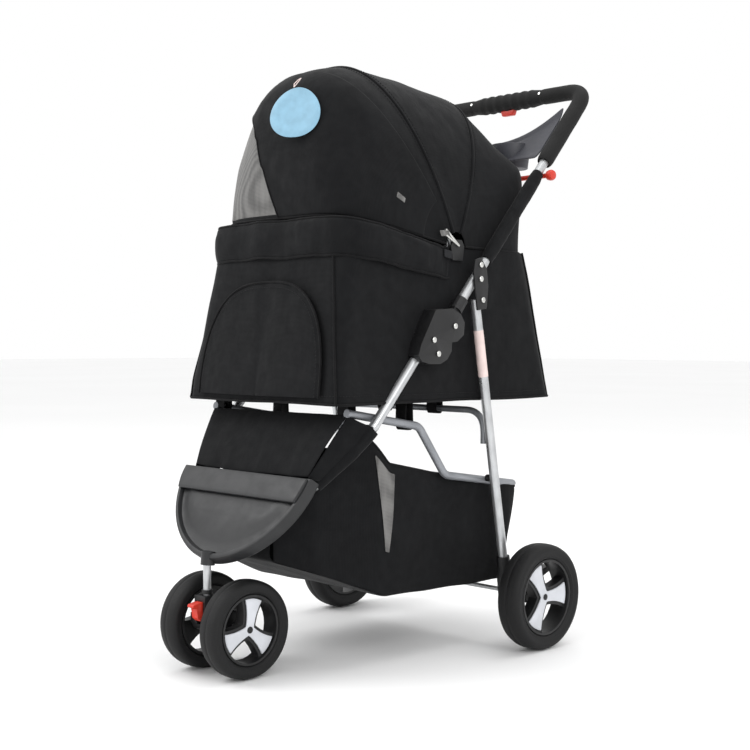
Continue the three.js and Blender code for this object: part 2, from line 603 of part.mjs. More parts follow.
// ---- assembly -----------------------------------------------------------------------------------------------
add("front_leg_frame", frontLegFrame(), FINISH.steel);
add("front_tray", frontTray(), FINISH.tray);
add("front_stem", frontStem(), FINISH.steel);
addPair("lower_knuckle", lowerKnuckle(), FINISH.dark);
addPair("upper_knuckle", upperKnuckle(), FINISH.dark);
add("handle_tube", handleTube(), FINISH.steel);
addPair("grip", grip(), FINISH.foam);
add("handle_housing", handleHousing(), FINISH.dark);
add("fold_trigger", foldTrigger(), FINISH.red);
add("cup_tray", cupTray(), FINISH.cup);
add("lock_bar", lockBar(), FINISH.red);
addPair("rear_leg", rearLeg(), FINISH.steel);
addPair("leg_bracket", legBracket(), FINISH.dark);
add("rear_crossbar", rearCrossbar(), FINISH.steel);
addPair("axle_foot", axleFoot(), FINISH.dark);
add("rear_axle", rod(-246, 246, REAR_AXLE, AXLE_RADIUS), FINISH.steel);
addPair("brake_pedal", brakePedal(), FINISH.dark);
add("lower_link", lowerLink(), FINISH.link);
addPair("link_spacer", linkSpacer(), FINISH.dark);
add("caster_fork", casterFork(), FINISH.dark);
add("front_axle", rod(-55.5, 55.5, FRONT_AXLE, AXLE_RADIUS), FINISH.steel);
add("swivel_lock", swivelLock(), FINISH.red);
addWheels("front", FRONT_WHEEL, FRONT_AXLE);
addWheels("rear", REAR_WHEEL, REAR_AXLE);
addCabin();
addHood();
add("basket", basket(), FINISH.cloth);
add("basket_flap", basketFlap(), FINISH.cloth);

export default model;
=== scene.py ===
"""A three-wheeled folding pet stroller, dressed round its frame: tubes, wheels, cabin, hood and basket."""

import json
import logging
import math
from dataclasses import dataclass
from enum import Enum
from typing import Callable, Sequence

import bpy
from mathutils import Matrix, Vector, noise
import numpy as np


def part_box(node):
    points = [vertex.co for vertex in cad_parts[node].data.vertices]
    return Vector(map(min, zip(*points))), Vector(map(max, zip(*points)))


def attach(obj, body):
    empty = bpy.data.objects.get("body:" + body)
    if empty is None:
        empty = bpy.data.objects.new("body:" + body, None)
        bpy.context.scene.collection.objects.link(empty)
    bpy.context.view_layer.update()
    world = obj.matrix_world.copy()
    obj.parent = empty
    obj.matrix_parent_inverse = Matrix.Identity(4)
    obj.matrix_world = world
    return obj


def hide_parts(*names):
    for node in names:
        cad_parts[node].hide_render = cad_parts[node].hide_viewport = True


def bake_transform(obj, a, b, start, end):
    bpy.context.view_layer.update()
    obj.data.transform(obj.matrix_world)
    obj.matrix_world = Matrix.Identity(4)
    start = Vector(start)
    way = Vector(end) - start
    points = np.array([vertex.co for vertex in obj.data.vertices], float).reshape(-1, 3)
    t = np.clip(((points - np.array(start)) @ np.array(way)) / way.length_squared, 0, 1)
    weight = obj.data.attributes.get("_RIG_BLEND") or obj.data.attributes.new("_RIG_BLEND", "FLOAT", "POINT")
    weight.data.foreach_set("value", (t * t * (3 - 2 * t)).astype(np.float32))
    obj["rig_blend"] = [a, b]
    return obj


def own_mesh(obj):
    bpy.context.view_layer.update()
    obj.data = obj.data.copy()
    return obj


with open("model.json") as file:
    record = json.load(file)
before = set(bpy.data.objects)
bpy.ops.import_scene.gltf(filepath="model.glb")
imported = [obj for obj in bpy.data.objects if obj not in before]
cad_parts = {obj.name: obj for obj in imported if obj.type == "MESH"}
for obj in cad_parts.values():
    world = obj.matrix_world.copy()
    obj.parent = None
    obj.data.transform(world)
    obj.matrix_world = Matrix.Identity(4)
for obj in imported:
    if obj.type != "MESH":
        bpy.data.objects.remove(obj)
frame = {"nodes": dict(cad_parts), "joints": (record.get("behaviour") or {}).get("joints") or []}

LOG = logging.getLogger("stroller")
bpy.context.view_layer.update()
JOINTS = {joint["name"]: joint for joint in frame["joints"]}
DOUBLES = 2e-6  # points closer than this are one
FOLD_PIVOT_Y = 0.089  # the fold pivot's place along the layout that the shapes below are drawn in
SHIFT = FOLD_PIVOT_Y - JOINTS["handle_fold"]["pos_m"][1]
SIDES = (("left", 1.0), ("right", -1.0))
TUBE_RADIUS = 0.008  # of the legs and the handle
ROD_RADIUS = 0.004  # of the axles, bows and pins
THIN_CLOTH, STOUT_CLOTH, NET_CLOTH = 0.0016, 0.0020, 0.0008
Point = tuple[float, float]
Socket = bpy.types.NodeSocket
Stops = Sequence[tuple[float, Sequence[float]]]


class Body(str, Enum):
    """The frame's bodies that pieces ride on."""

    FRONT = "front_frame"
    HANDLE = "handle"
    TRIGGER = "fold_trigger"
    LOCK = "lock_bar"
    REAR = "rear_frame"
    LINK = "lower_link"
    CASTER = "caster"
    SWIVEL = "swivel_lock"
    HOOD_BACK = "hood_back"
    HOOD_FRONT = "hood_front"
    TAG = "tag"


class Slot(str, Enum):
    """The record's material slots."""

    STEEL = "steel"
    LINK = "link_steel"
    PLASTIC = "black_plastic"
    TRAY = "tray_plastic"
    FOAM = "foam"
    TYRE = "tyre"
    CUP = "cup_plastic"
    RED = "red_plastic"
    CAP = "cap_silver"
    CLOTH = "cloth"
    PAD = "pad_cloth"
    TAG = "tag_card"


def at(x: float, y: float, z: float) -> Vector:
    """A point of the layout, moved into the frame."""
    return Vector((x, y - SHIFT, z))


def mix(a: float, b: float, share: float) -> float:
    """The number that lies at a share of the way from a to b."""
    return a + (b - a) * share


def along(table: Sequence[Point], value: float) -> float:
    """Reads a table of (place, number) rows at a place between its rows.

    Args:
        table: rows in rising order of place.
        value: the place to read at; past either end the end's number holds.

    Returns:
        The number there, in a straight line between the rows.
    """
    if value <= table[0][0]:
        return table[0][1]
    for (a, low), (b, high) in zip(table, table[1:]):
        if value <= b:
            return mix(low, high, (value - a) / (b - a))
    return table[-1][1]


def smooth(low: float, high: float, value: float) -> float:
    """An eased step from 0 at low to 1 at high."""
    share = min(1.0, max(0.0, (value - low) / (high - low)))
    return share * share * (3 - 2 * share)


def uneven(x: float, y: float, z: float) -> float:
    """A smooth uneven height, about -1 to 1, at a place in space."""
    return noise.noise(Vector((x, y, z)))


def powered(value: float, power: float) -> float:
    """A number raised to a power, with its sign kept."""
    return math.copysign(abs(value) ** power, value)


# ---- finishes ----


class Graph:
    """A material's node tree, with a Principled shader and a few short ways to feed it."""

    def __init__(self, name: str) -> None:
        """Starts an empty tree.

        Args:
            name: the material's name.
        """
        self.material = bpy.data.materials.new(name)
        self.material.use_nodes = True
        self.tree = self.material.node_tree
        self.shader = next(n for n in self.tree.nodes if n.type == "BSDF_PRINCIPLED")
        self.place = self.tree.nodes.new("ShaderNodeTexCoord").outputs["Object"]

    def node(self, kind: str, **settings: object) -> bpy.types.Node:
        """Adds a node with its settings.

        Args:
            kind: the node type.
            settings: values for its properties.

        Returns:
            The node.
        """
        made = self.tree.nodes.new(kind)
        for key, value in settings.items():
            setattr(made, key, value)
        return made

    def stretched(self, scale: Sequence[float]) -> Socket:
        """The place on the piece, stretched along each axis.

        Args:
            scale: factors along X, Y and Z.

        Returns:
            The stretched place.
        """
        mapping = self.node("ShaderNodeMapping")
        mapping.inputs["Scale"].default_value = scale
        self.tree.links.new(self.place, mapping.inputs["Vector"])
        return mapping.outputs["Vector"]

    def noise(self, scale: float, detail: float = 3.0, stretch: Sequence[float] = (1, 1, 1)) -> Socket:
        """A noise over the piece.

        Args:
            scale: how many features a metre holds.
            detail: how many finer layers lie over the first.
            stretch: scale factors along X, Y and Z.

        Returns:
            The noise's factor.
        """
        made = self.node("ShaderNodeTexNoise")
        made.inputs["Scale"].default_value = scale
        made.inputs["Detail"].default_value = detail
        self.tree.links.new(self.stretched(stretch), made.inputs["Vector"])
        return made.outputs["Fac"]

    def cells(self, scale: float) -> Socket:
        """The distance to the nearest of scattered points: pores and grain.

        Args:
            scale: how many points a metre holds.

        Returns:
            The distance.
        """
        made = self.node("ShaderNodeTexVoronoi")
        made.inputs["Scale"].default_value = scale
        self.tree.links.new(self.place, made.inputs["Vector"])
        return made.outputs["Distance"]

    def threads(self, scale: float) -> Socket:
        """Crossed threads in all three directions, which on any face read as a weave.

        Args:
            scale: how close the threads lie.

        Returns:
            The height, 0 to 1.
        """
        total = None
        for axis in "XYZ":
            wave = self.node("ShaderNodeTexWave", bands_direction=axis)
            wave.inputs["Scale"].default_value = scale
            wave.inputs["Distortion"].default_value = 0.6
            self.tree.links.new(self.place, wave.inputs["Vector"])
            total = wave.outputs["Fac"] if total is None else self.math("ADD", total, wave.outputs["Fac"])
        return self.math("DIVIDE", total, 3.0)

    def math(self, operation: str, a: Socket, b: object = 0.0) -> Socket:
        """One Math node on two inputs.

        Args:
            operation: the kind of sum.
            a: its first input.
            b: its second, an output or a number.

        Returns:
            The result.
        """
        made = self.node("ShaderNodeMath", operation=operation)
        for socket, value in zip(made.inputs, (a, b)):
            if isinstance(value, Socket):
                self.tree.links.new(value, socket)
            else:
                socket.default_value = value
        return made.outputs[0]

    def ramp(self, factor: Socket, stops: Stops, target: str) -> None:
        """Feeds a shader socket from a ramp.

        Args:
            factor: what the ramp reads.
            stops: (place, colour) rows, the colour as three linear numbers or one grey.
            target: the shader's socket.
        """
        made = self.node("ShaderNodeValToRGB")
        elements = made.color_ramp.elements
        while len(elements) < len(stops):
            elements.new(0.5)
        for element, (place, color) in zip(elements, stops):
            element.position = place
            element.color = (*(color if len(color) == 3 else color * 3), 1.0)
        self.tree.links.new(factor, made.inputs["Fac"])
        self.tree.links.new(made.outputs["Color"], self.shader.inputs[target])

    def bump(self, *layers: tuple[Socket, float, float]) -> None:
        """Stacks bump layers, each (height, strength, distance), into the shader's normal.

        Args:
            layers: the lowest layer first.
        """
        normal = None
        for height, strength, distance in layers:
            made = self.node("ShaderNodeBump")
            made.inputs["Strength"].default_value = strength
            made.inputs["Distance"].default_value = distance
            self.tree.links.new(height, made.inputs["Height"])
            if normal is not None:
                self.tree.links.new(normal, made.inputs["Normal"])
            normal = made.outputs["Normal"]
        self.tree.links.new(normal, self.shader.inputs["Normal"])

    def set(self, **values: float) -> None:
        """Sets the shader's own sockets, named with _ for a space."""
        for key, value in values.items():
            self.shader.inputs[key.replace("_", " ")].default_value = value


def shade(color: Sequence[float], factor: float) -> tuple[float, ...]:
    """A colour made lighter or darker."""
    return tuple(min(1.0, c * factor) for c in color)


@dataclass(frozen=True)
class Finish:
    """What all finishes share: a name, a linear colour, and a material made once."""

    name: str
    color: tuple[float, float, float]

    def material(self) -> bpy.types.Material:
        """The finish's material, made at its first use."""
        found = bpy.data.materials.get(self.name)
        if found is None:
            graph = Graph(self.name)
            self.build(graph)
            found = graph.material
        return found

    def build(self, graph: Graph) -> None:
        """Wires the material; each kind of finish has its own way."""
        raise NotImplementedError


@dataclass(frozen=True)
class Canvas(Finish):
    """Plain woven polyester, a little faded on its high places."""

    thread: float = 210.0
    sheen: float = 0.06

    def build(self, graph: Graph) -> None:
        """Wires weave, slight fading and soft creases.

        Args:
            graph: the tree.
        """
        weave, fade = graph.threads(self.thread), graph.noise(9.0, 4.0)
        tone = graph.math("ADD", graph.math("MULTIPLY", weave, 0.35), graph.math("MULTIPLY", fade, 0.65))
        graph.ramp(tone, ((0.3, shade(self.color, 0.72)), (0.7, shade(self.color, 1.3))), "Base Color")
        graph.ramp(graph.noise(60.0), ((0.2, (0.74,)), (0.8, (0.92,))), "Roughness")
        graph.bump((graph.noise(19.0, 3.0, (1.0, 1.0, 0.45)), 0.55, 0.006), (weave, 0.35, 0.0004))
        graph.set(Sheen_Weight=self.sheen, Sheen_Roughness=0.4, Specular_IOR_Level=0.16)


@dataclass(frozen=True)
class Netting(Finish):
    """Open mesh cloth: grey threads with small dark holes between them."""

    pitch: float = 150.0

    def build(self, graph: Graph) -> None:
        """Wires the holes, the threads' relief, and painted light and shade along the folds.

        Args:
            graph: the tree.
        """
        holes = graph.threads(self.pitch)
        folds = graph.noise(30.0, 2.0, (1.6, 1.6, 0.15))
        # painted light and shade: the fold noise also lightens and darkens the netting's colour along its folds, as
        # light falling on them would
        tone = graph.math("ADD", graph.math("MULTIPLY", holes, 0.5), graph.math("MULTIPLY", folds, 0.5))
        graph.ramp(tone, ((0.3, shade(self.color, 0.3)), (0.65, shade(self.color, 1.35))), "Base Color")
        graph.ramp(folds, ((0.2, (0.7,)), (0.8, (0.9,))), "Roughness")
        graph.bump((folds, 0.5, 0.004), (holes, 0.6, 0.0006))
        graph.set(Sheen_Weight=0.2)


@dataclass(frozen=True)
class Tubing(Finish):
    """Silver-painted or powder-coated steel tube, with fine drawn marks and a few rubs."""

    metallic: float = 0.75
    roughness: float = 0.32

    def build(self, graph: Graph) -> None:
        """Wires the drawn marks, rubs and orange peel.

        Args:
            graph: the tree.
        """
        marks = graph.noise(160.0, 4.0, (1.0, 0.25, 0.25))
        graph.ramp(marks, ((0.3, shade(self.color, 0.86)), (0.7, shade(self.color, 1.1))), "Base Color")
        rough = self.roughness
        graph.ramp(graph.noise(35.0, 5.0), ((0.3, (rough * 0.8,)), (0.75, (rough * 1.35,))), "Roughness")
        graph.bump((graph.noise(420.0, 2.0), 0.12, 0.0004))
        graph.set(Metallic=self.metallic)


@dataclass(frozen=True)
class Moulding(Finish):
    """Injection-moulded plastic with a fine spark-eroded grain, shinier where it is rubbed."""

    roughness: float = 0.45
    grain: float = 900.0
    depth: float = 0.25

    def build(self, graph: Graph) -> None:
        """Wires grain, flow marks and rubbed patches.

        Args:
            graph: the tree.
        """
        flow = graph.noise(18.0, 4.0)
        graph.ramp(flow, ((0.3, shade(self.color, 0.86)), (0.7, shade(self.color, 1.16))), "Base Color")
        rough = self.roughness
        worn = ((0.25, (rough * 0.82,)), (0.75, (min(1.0, rough * 1.25),)))
        graph.ramp(graph.noise(50.0, 4.0), worn, "Roughness")
        graph.bump((graph.cells(self.grain), self.depth, 0.0004), (flow, 0.06, 0.002))
        graph.set(Specular_IOR_Level=0.45)


@dataclass(frozen=True)
class Foam(Finish):
    """Closed-cell foam, as on grips and solid tyres: matt, with open pores in its skin."""

    pores: float = 700.0
    roughness: float = 0.8

    def build(self, graph: Graph) -> None:
        """Wires pores and dusty patches.

        Args:
            graph: the tree.
        """
        dust = graph.noise(26.0, 5.0)
        graph.ramp(dust, ((0.35, shade(self.color, 0.85)), (0.75, shade(self.color, 1.35))), "Base Color")
        rough = self.roughness
        graph.ramp(dust, ((0.3, (rough * 0.9,)), (0.8, (min(1.0, rough * 1.15),))), "Roughness")
        graph.bump((graph.cells(self.pores), 0.4, 0.0006), (graph.noise(90.0), 0.15, 0.001))
        graph.set(Specular_IOR_Level=0.3)


@dataclass(frozen=True)
class Card(Finish):
    """Printed card or label stock: smooth, faintly mottled."""

    def build(self, graph: Graph) -> None:
        """Wires mottling and the paper's tooth.

        Args:
            graph: the tree.
        """
        mottle = graph.noise(70.0, 5.0)
        graph.ramp(mottle, ((0.3, shade(self.color, 0.9)), (0.75, shade(self.color, 1.1))), "Base Color")
        graph.ramp(graph.noise(200.0), ((0.2, (0.4,)), (0.8, (0.6,))), "Roughness")
        graph.bump((graph.noise(600.0, 2.0), 0.1, 0.0003))
        graph.set(Coat_Weight=0.15, Coat_Roughness=0.3)


CLOTH = Canvas("charcoal_canvas", (0.0047, 0.0049, 0.0056))
PIPING = Canvas("piping_tape", (0.0050, 0.0050, 0.0055), thread=320.0, sheen=0.05)
LINING = Canvas("pad_canvas", (0.016, 0.0165, 0.018), thread=170.0)
WEBBING = Canvas("black_webbing", (0.0045, 0.0045, 0.0050), thread=260.0, sheen=0.05)
THREAD = Canvas("sewing_thread", (0.012, 0.012, 0.013), thread=600.0)
NETTING = Netting("grey_netting", (0.130, 0.127, 0.123))
STEEL = Tubing("silver_tube", (0.52, 0.53, 0.54))
LINK_STEEL = Tubing("grey_tube", (0.27, 0.28, 0.30), metallic=0.5, roughness=0.42)
RIVET_STEEL = Tubing("rivet_steel", (0.62, 0.62, 0.60), metallic=0.9, roughness=0.28)
PLASTIC = Moulding("black_moulding", (0.0062, 0.0062, 0.0068))
TRAY_PLASTIC = Moulding("tray_moulding", (0.0135, 0.0140, 0.0152), roughness=0.44, grain=1100.0)
CUP_PLASTIC = Moulding("cup_moulding", (0.040, 0.041, 0.050), roughness=0.5)
RED_PLASTIC = Moulding("red_moulding", (0.58, 0.035, 0.018), roughness=0.36, grain=500.0, depth=0.1)
CAP_PLASTIC = Moulding("silver_cap", (0.57, 0.585, 0.62), roughness=0.34, grain=700.0, depth=0.12)
GRIP_FOAM = Foam("grip_foam", (0.0075, 0.0075, 0.0075))
TYRE_FOAM = Foam("tyre_foam", (0.0070, 0.0070, 0.0074), pores=420.0, roughness=0.66)
TAG_CARD = Card("blue_tag_card", (0.215, 0.400, 0.530))
LABEL = Card("blank_label", (0.74, 0.60, 0.57))


# ---- the bench: how pieces are made ----


class Bench:
    """Short ways to make and finish a mesh with Blender's own tools."""

    @staticmethod
    def only(obj: bpy.types.Object) -> None:
        """Selects one object and makes it the active one."""
        bpy.ops.object.select_all(action="DESELECT")
        obj.select_set(True)
        bpy.context.view_layer.objects.active = obj

    @staticmethod
    def name(name: str) -> bpy.types.Object:
        """Names the object just added, and its mesh."""
        obj = bpy.context.view_layer.objects.active
        obj.name = obj.data.name = name
        return obj

    @staticmethod
    def sheet(name: str, columns: int, rows: int, place: Callable[[float, float], Vector]) -> bpy.types.Object:
        """A grid primitive laid on a curved surface.

        Args:
            name: the piece's name.
            columns: faces across.
            rows: faces up.
            place: gives the point for a share across and a share up.

        Returns:
            The open sheet.
        """
        bpy.ops.object.select_all(action="DESELECT")
        bpy.ops.mesh.primitive_grid_add(x_subdivisions=columns, y_subdivisions=rows, size=1.0)
        obj = Bench.name(name)
        for corner in obj.data.vertices:
            corner.co = place(corner.co.x + 0.5, corner.co.y + 0.5)
        return obj

    @staticmethod
    def edit(obj: bpy.types.Object, *steps: Callable[[], object]) -> bpy.types.Object:
        """Runs edit-mode operators on all of a mesh.

        Args:
            obj: the mesh.
            steps: what to call, in order.

        Returns:
            The same mesh.
        """
        Bench.only(obj)
        bpy.ops.object.mode_set(mode="EDIT")
        bpy.ops.mesh.select_mode(type="VERT")
        bpy.ops.mesh.select_all(action="SELECT")
        for step in steps:
            step()
        bpy.ops.object.mode_set(mode="OBJECT")
        return obj

    @staticmethod
    def close(obj: bpy.types.Object, caps: bool = True) -> bpy.types.Object:
        """Merges doubles, closes holes if asked, and turns the faces outwards.

        Args:
            obj: the mesh.
            caps: closes its holes.

        Returns:
            The same mesh.
        """
        select = lambda: bpy.ops.mesh.select_all(action="SELECT")
        fill = [select, lambda: bpy.ops.mesh.fill_holes(sides=0)] if caps else []
        turn = [select, lambda: bpy.ops.mesh.normals_make_consistent(inside=False)]
        return Bench.edit(obj, lambda: bpy.ops.mesh.remove_doubles(threshold=DOUBLES), *fill, *turn)

    @staticmethod
    def loft(name: str, rings: Sequence[Sequence[Vector]], caps: bool = True) -> bpy.types.Object:
        """A closed skin through rings of points.

        Args:
            name: the piece's name.
            rings: closed rings with the same number of points.
            caps: closes the first and last ring.

        Returns:
            The closed mesh.
        """
        count, steps = len(rings[0]), len(rings) - 1
        obj = Bench.sheet(name, count, steps, lambda u, v: rings[round(v * steps)][round(u * count) % count])
        return Bench.close(obj, caps)

    @staticmethod
    def modify(obj: bpy.types.Object, kind: str, **settings: object) -> bpy.types.Object:
        """Adds a modifier and applies it.

        Args:
            obj: the mesh.
            kind: the modifier type.
            settings: values for its properties.

        Returns:
            The same mesh.
        """
        Bench.only(obj)
        modifier = obj.modifiers.new(kind.title(), kind)
        for key, value in settings.items():
            setattr(modifier, key, value)
        bpy.ops.object.modifier_apply(modifier=modifier.name)
        return obj

    @staticmethod
    def chamfer(obj: bpy.types.Object, width: float, segments: int, degrees: float = 40.0) -> bpy.types.Object:
        """Rounds a mesh's edges, where they are sharper than an angle."""
        limit = math.radians(degrees)
        return Bench.modify(obj, "BEVEL", width=width, segments=segments, limit_method="ANGLE", angle_limit=limit)

    @staticmethod
    def thicken(obj: bpy.types.Object, thickness: float, levels: int = 1) -> bpy.types.Object:
        """Gives a sheet its thickness and smooths it.

        Args:
            obj: the sheet.
            thickness: of the cloth.
            levels: of subdivision.

        Returns:
            The same sheet, closed.
        """
        Bench.modify(obj, "SOLIDIFY", thickness=thickness, offset=0.0)
        if levels:
            Bench.modify(obj, "SUBSURF", levels=levels, render_levels=levels)
        return Bench.soften(obj, 50)

    @staticmethod
    def soften(obj: bpy.types.Object, degrees: float = 35) -> bpy.types.Object:
        """Shades a mesh smooth, apart from its sharp edges.

        Args:
            obj: the mesh.
            degrees: edges sharper than this stay sharp.

        Returns:
            The same mesh.
        """
        Bench.only(obj)
        bpy.ops.object.shade_smooth_by_angle(angle=math.radians(degrees))
        return obj

    @staticmethod
    def tube(
        name: str, points: Sequence[Vector], radius: float, sides: int = 5, ring: bool = False
    ) -> bpy.types.Object:
        """A round tube or cord through points.

        Args:
            name: the piece's name.
            points: its centreline.
            radius: its radius.
            sides: half the number of faces round it, less two.
            ring: joins its ends.

        Returns:
            The tube as a mesh.
        """
        bpy.ops.object.select_all(action="DESELECT")
        bpy.ops.object.add(type="CURVE")
        obj = Bench.name(name)
        obj.data.dimensions = "3D"
        obj.data.bevel_depth, obj.data.bevel_resolution = radius, sides
        obj.data.use_fill_caps = not ring
        spline = obj.data.splines.new("POLY")
        spline.points.add(len(points) - 1)
        for corner, point in zip(spline.points, points):
            corner.co = (*point, 1.0)
        spline.use_cyclic_u = ring
        bpy.ops.object.convert(target="MESH")
        obj = bpy.context.view_layer.objects.active
        return Bench.soften(Bench.close(obj, False), 40)

    @staticmethod
    def revolve(name: str, profile: Sequence[Point], centre: Vector, steps: int = 72) -> bpy.types.Object:
        """A closed profile spun round an axis along X.

        Args:
            name: the piece's name.
            profile: (radius, place along X from the centre) corners.
            centre: the point that the axis passes through.
            steps: faces round.

        Returns:
            The spun mesh.
        """
        bpy.ops.object.select_all(action="DESELECT")
        bpy.ops.mesh.primitive_circle_add(vertices=len(profile), radius=1.0)
        obj = Bench.name(name)
        for corner, (radius, across) in zip(obj.data.vertices, profile):
            corner.co = centre + Vector((across, 0.0, radius))
        spin = lambda: bpy.ops.mesh.spin(steps=steps, angle=math.tau, center=centre, axis=(1, 0, 0))
        return Bench.soften(Bench.close(Bench.edit(obj, spin), False), 40)

    @staticmethod
    def refined(node: str, name: str, bevel: float, angle: float) -> bpy.types.Object:
        """A copy of a CAD node with its flats merged and its edges rounded.

        Args:
            node: the CAD node.
            name: the copy's name.
            bevel: how wide the rounded edges are.
            angle: edges sharper than this many degrees are rounded.

        Returns:
            The new piece, free of the frame.
        """
        Bench.only(frame["nodes"][node])
        bpy.ops.object.duplicate()
        obj = Bench.name(name)
        obj.parent = None
        for key in list(obj.keys()):
            del obj[key]
        obj.data.materials.clear()
        Bench.edit(
            obj,
            lambda: bpy.ops.mesh.remove_doubles(threshold=DOUBLES),
            lambda: bpy.ops.mesh.dissolve_limited(angle_limit=math.radians(0.8)),
        )
        Bench.chamfer(obj, bevel, 3, angle)
        return Bench.soften(obj, 40)

    @staticmethod
    def joined(name: str, pieces: Sequence[bpy.types.Object]) -> bpy.types.Object:
        """Joins pieces into one object.

        Args:
            name: the new name.
            pieces: the meshes to join.

        Returns:
            The one mesh.
        """
        bpy.ops.object.select_all(action="DESELECT")
        for piece in pieces:
            piece.select_set(True)
        bpy.context.view_layer.objects.active = pieces[0]
        if len(pieces) > 1:
            bpy.ops.object.join()
        return Bench.name(name)

    @staticmethod
    def rivet(name: str, centre: Vector, radius: float, height: float, side: float) -> bpy.types.Object:
        """A domed rivet head that faces outwards along X.

        Args:
            name: the piece's name.
            centre: the middle of its foot.
            radius: its radius.
            height: how far it stands out.
            side: 1 on the left, -1 on the right.

        Returns:
            The head.
        """
        hole = 0.0002  # the spun profile stays just off its axis
        shoulder = [(radius, height * 0.35), (radius * 0.72, height * 0.85)]
        profile = [(hole, 0), (radius, 0), *shoulder, (hole, height)]
        return Bench.revolve(name, [(r, x * side) for r, x in profile], centre, 20)

    @staticmethod
    def stitches(name: str, points: Sequence[Vector], pitch: float = 0.0055) -> bpy.types.Object:
        """A row of sewn stitches, each a short fat dash.

        Args:
            name: the piece's name.
            points: the seam's line.
            pitch: from one stitch to the next.

        Returns:
            All the dashes as one mesh.
        """
        line = resample(points, max(2, round(length_of(points) / pitch)))
        bpy.ops.object.select_all(action="DESELECT")
        bpy.ops.mesh.primitive_uv_sphere_add(segments=6, ring_count=4, radius=1.0)
        obj = Bench.name(name)
        shape = [corner.co.copy() for corner in obj.data.vertices]
        faces = [tuple(face.vertices) for face in obj.data.polygons]
        corners, polygons = [], []
        for a, b in zip(line, line[1:]):
            turn = (b - a).to_track_quat("X", "Z").to_matrix()
            size = Vector(((b - a).length * 0.34, 0.00055, 0.00055))
            first = len(corners)
            corners += [(a + b) / 2 + turn @ Vector((p.x * size.x, p.y * size.y, p.z * size.z)) for p in shape]
            polygons += [tuple(first + i for i in face) for face in faces]
        obj.data.clear_geometry()
        obj.data.from_pydata(corners, [], polygons)
        return Bench.soften(obj, 80)


def length_of(points: Sequence[Vector]) -> float:
    """How long a line of points is."""
    return sum((b - a).length for a, b in zip(points, points[1:]))


def resample(points: Sequence[Vector], count: int) -> list[Vector]:
    """Spaces points evenly along a line.

    Args:
        points: the line's corners.
        count: how many stretches the new line has.

    Returns:
        count + 1 points, the ends included.
    """
    total, made, passed, i = length_of(points), [points[0].copy()], 0.0, 0
    for k in range(1, count):
        goal = total * k / count
        while i < len(points) - 2 and passed + (points[i + 1] - points[i]).length < goal:
            passed += (points[i + 1] - points[i]).length
            i += 1
        stretch = (points[i + 1] - points[i]).length
        made.append(points[i].lerp(points[i + 1], (goal - passed) / max(stretch, 1e-9)))
    return [*made, points[-1].copy()]


def rounded(corners: Sequence[Vector], radius: float, steps: int = 8, ring: bool = False) -> list[Vector]:
    """Rounds the corners of a line.

    Args:
        corners: the line's corners.
        radius: the bend radius.
        steps: points along each bend.
        ring: the line is closed, and its first corner is rounded too.

    Returns:
        The rounded line.
    """
    count = len(corners)
    made = [] if ring else [corners[0].copy()]
    for i in range(count) if ring else range(1, count - 1):
        here = corners[i]
        back, on = (corners[i - 1] - here).normalized(), (corners[(i + 1) % count] - here).normalized()
        reach = radius / math.tan(back.angle(on) / 2)
        start, end = here + back * reach, here + on * reach
        for k in range(steps + 1):
            share = k / steps
            made.append(start.lerp(here, share).lerp(here.lerp(end, share), share))
    return made if ring else [*made, corners[-1].copy()]


def mirrored(points: Sequence[Vector], sign: float) -> list[Vector]:
    """A left side's line as it is for sign 1, or mirrored to the right side for -1."""
    return [Vector((sign * p.x, p.y, p.z)) for p in points]


def both_sides(half: Sequence[Vector]) -> list[Vector]:
    """Continues a line that ends near the middle with its mirror image."""
    return [*half, *mirrored([p for p in reversed(half) if p.x > 1e-4], -1)]


def dress(obj: bpy.types.Object, finish: Finish, body: str, slot: Slot, *nodes: str) -> bpy.types.Object:
    """Gives a piece its finish and its body, and hides the CAD nodes that it stands for.

    Args:
        obj: the finished mesh.
        finish: its finish.
        body: the body that it rides on.
        slot: the record's material slot.
        nodes: the CAD nodes that it replaces.

    Returns:
        The piece.
    """
    cover(obj, finish, slot, *nodes)
    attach(obj, str(getattr(body, "value", body)))
    return obj


def cover(obj: bpy.types.Object, finish: Finish, slot: Slot, *nodes: str) -> bpy.types.Object:
    """Gives a piece its finish and hides the CAD nodes that it replaces, but gives it no body yet.

    Args:
        obj: the finished mesh.
        finish: its finish.
        slot: the record's material slot; not used.
        nodes: the CAD nodes that it replaces.

    Returns:
        The piece.
    """
    obj.data.materials.clear()
    obj.data.materials.append(finish.material())
    if nodes:
        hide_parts(*nodes)
    LOG.info("%s: %s, %d faces", obj.name, finish.name, len(obj.data.polygons))
    return obj


def moulded(
    node: str, name: str, bevel: float, finish: Finish, body: str, slot: Slot, angle: float = 27.0
) -> None:
    """A moulded part: a CAD node with its edges rounded, dressed to stand for that node.

    Args:
        node: the CAD node.
        name: the piece's name.
        bevel: how wide the rounded edges are.
        finish: its finish.
        body: the body that it rides on.
        slot: the record's material slot.
        angle: edges sharper than this many degrees are rounded.
    """
    dress(Bench.refined(node, name, bevel, angle), finish, body, slot, node)


def axle(name: str, node: str, body: Body) -> None:
    """A plain rod where the CAD has an axle along X.

    Args:
        name: the piece's name.
        node: the CAD node.
        body: the body that it rides on.
    """
    low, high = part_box(node)
    middle = (low + high) / 2
    ends = [Vector((x, middle.y, middle.z)) for x in (low.x, high.x)]
    dress(Bench.tube(name, ends, ROD_RADIUS), STEEL, body, Slot.STEEL, node)


# ---- tubes and joints ----


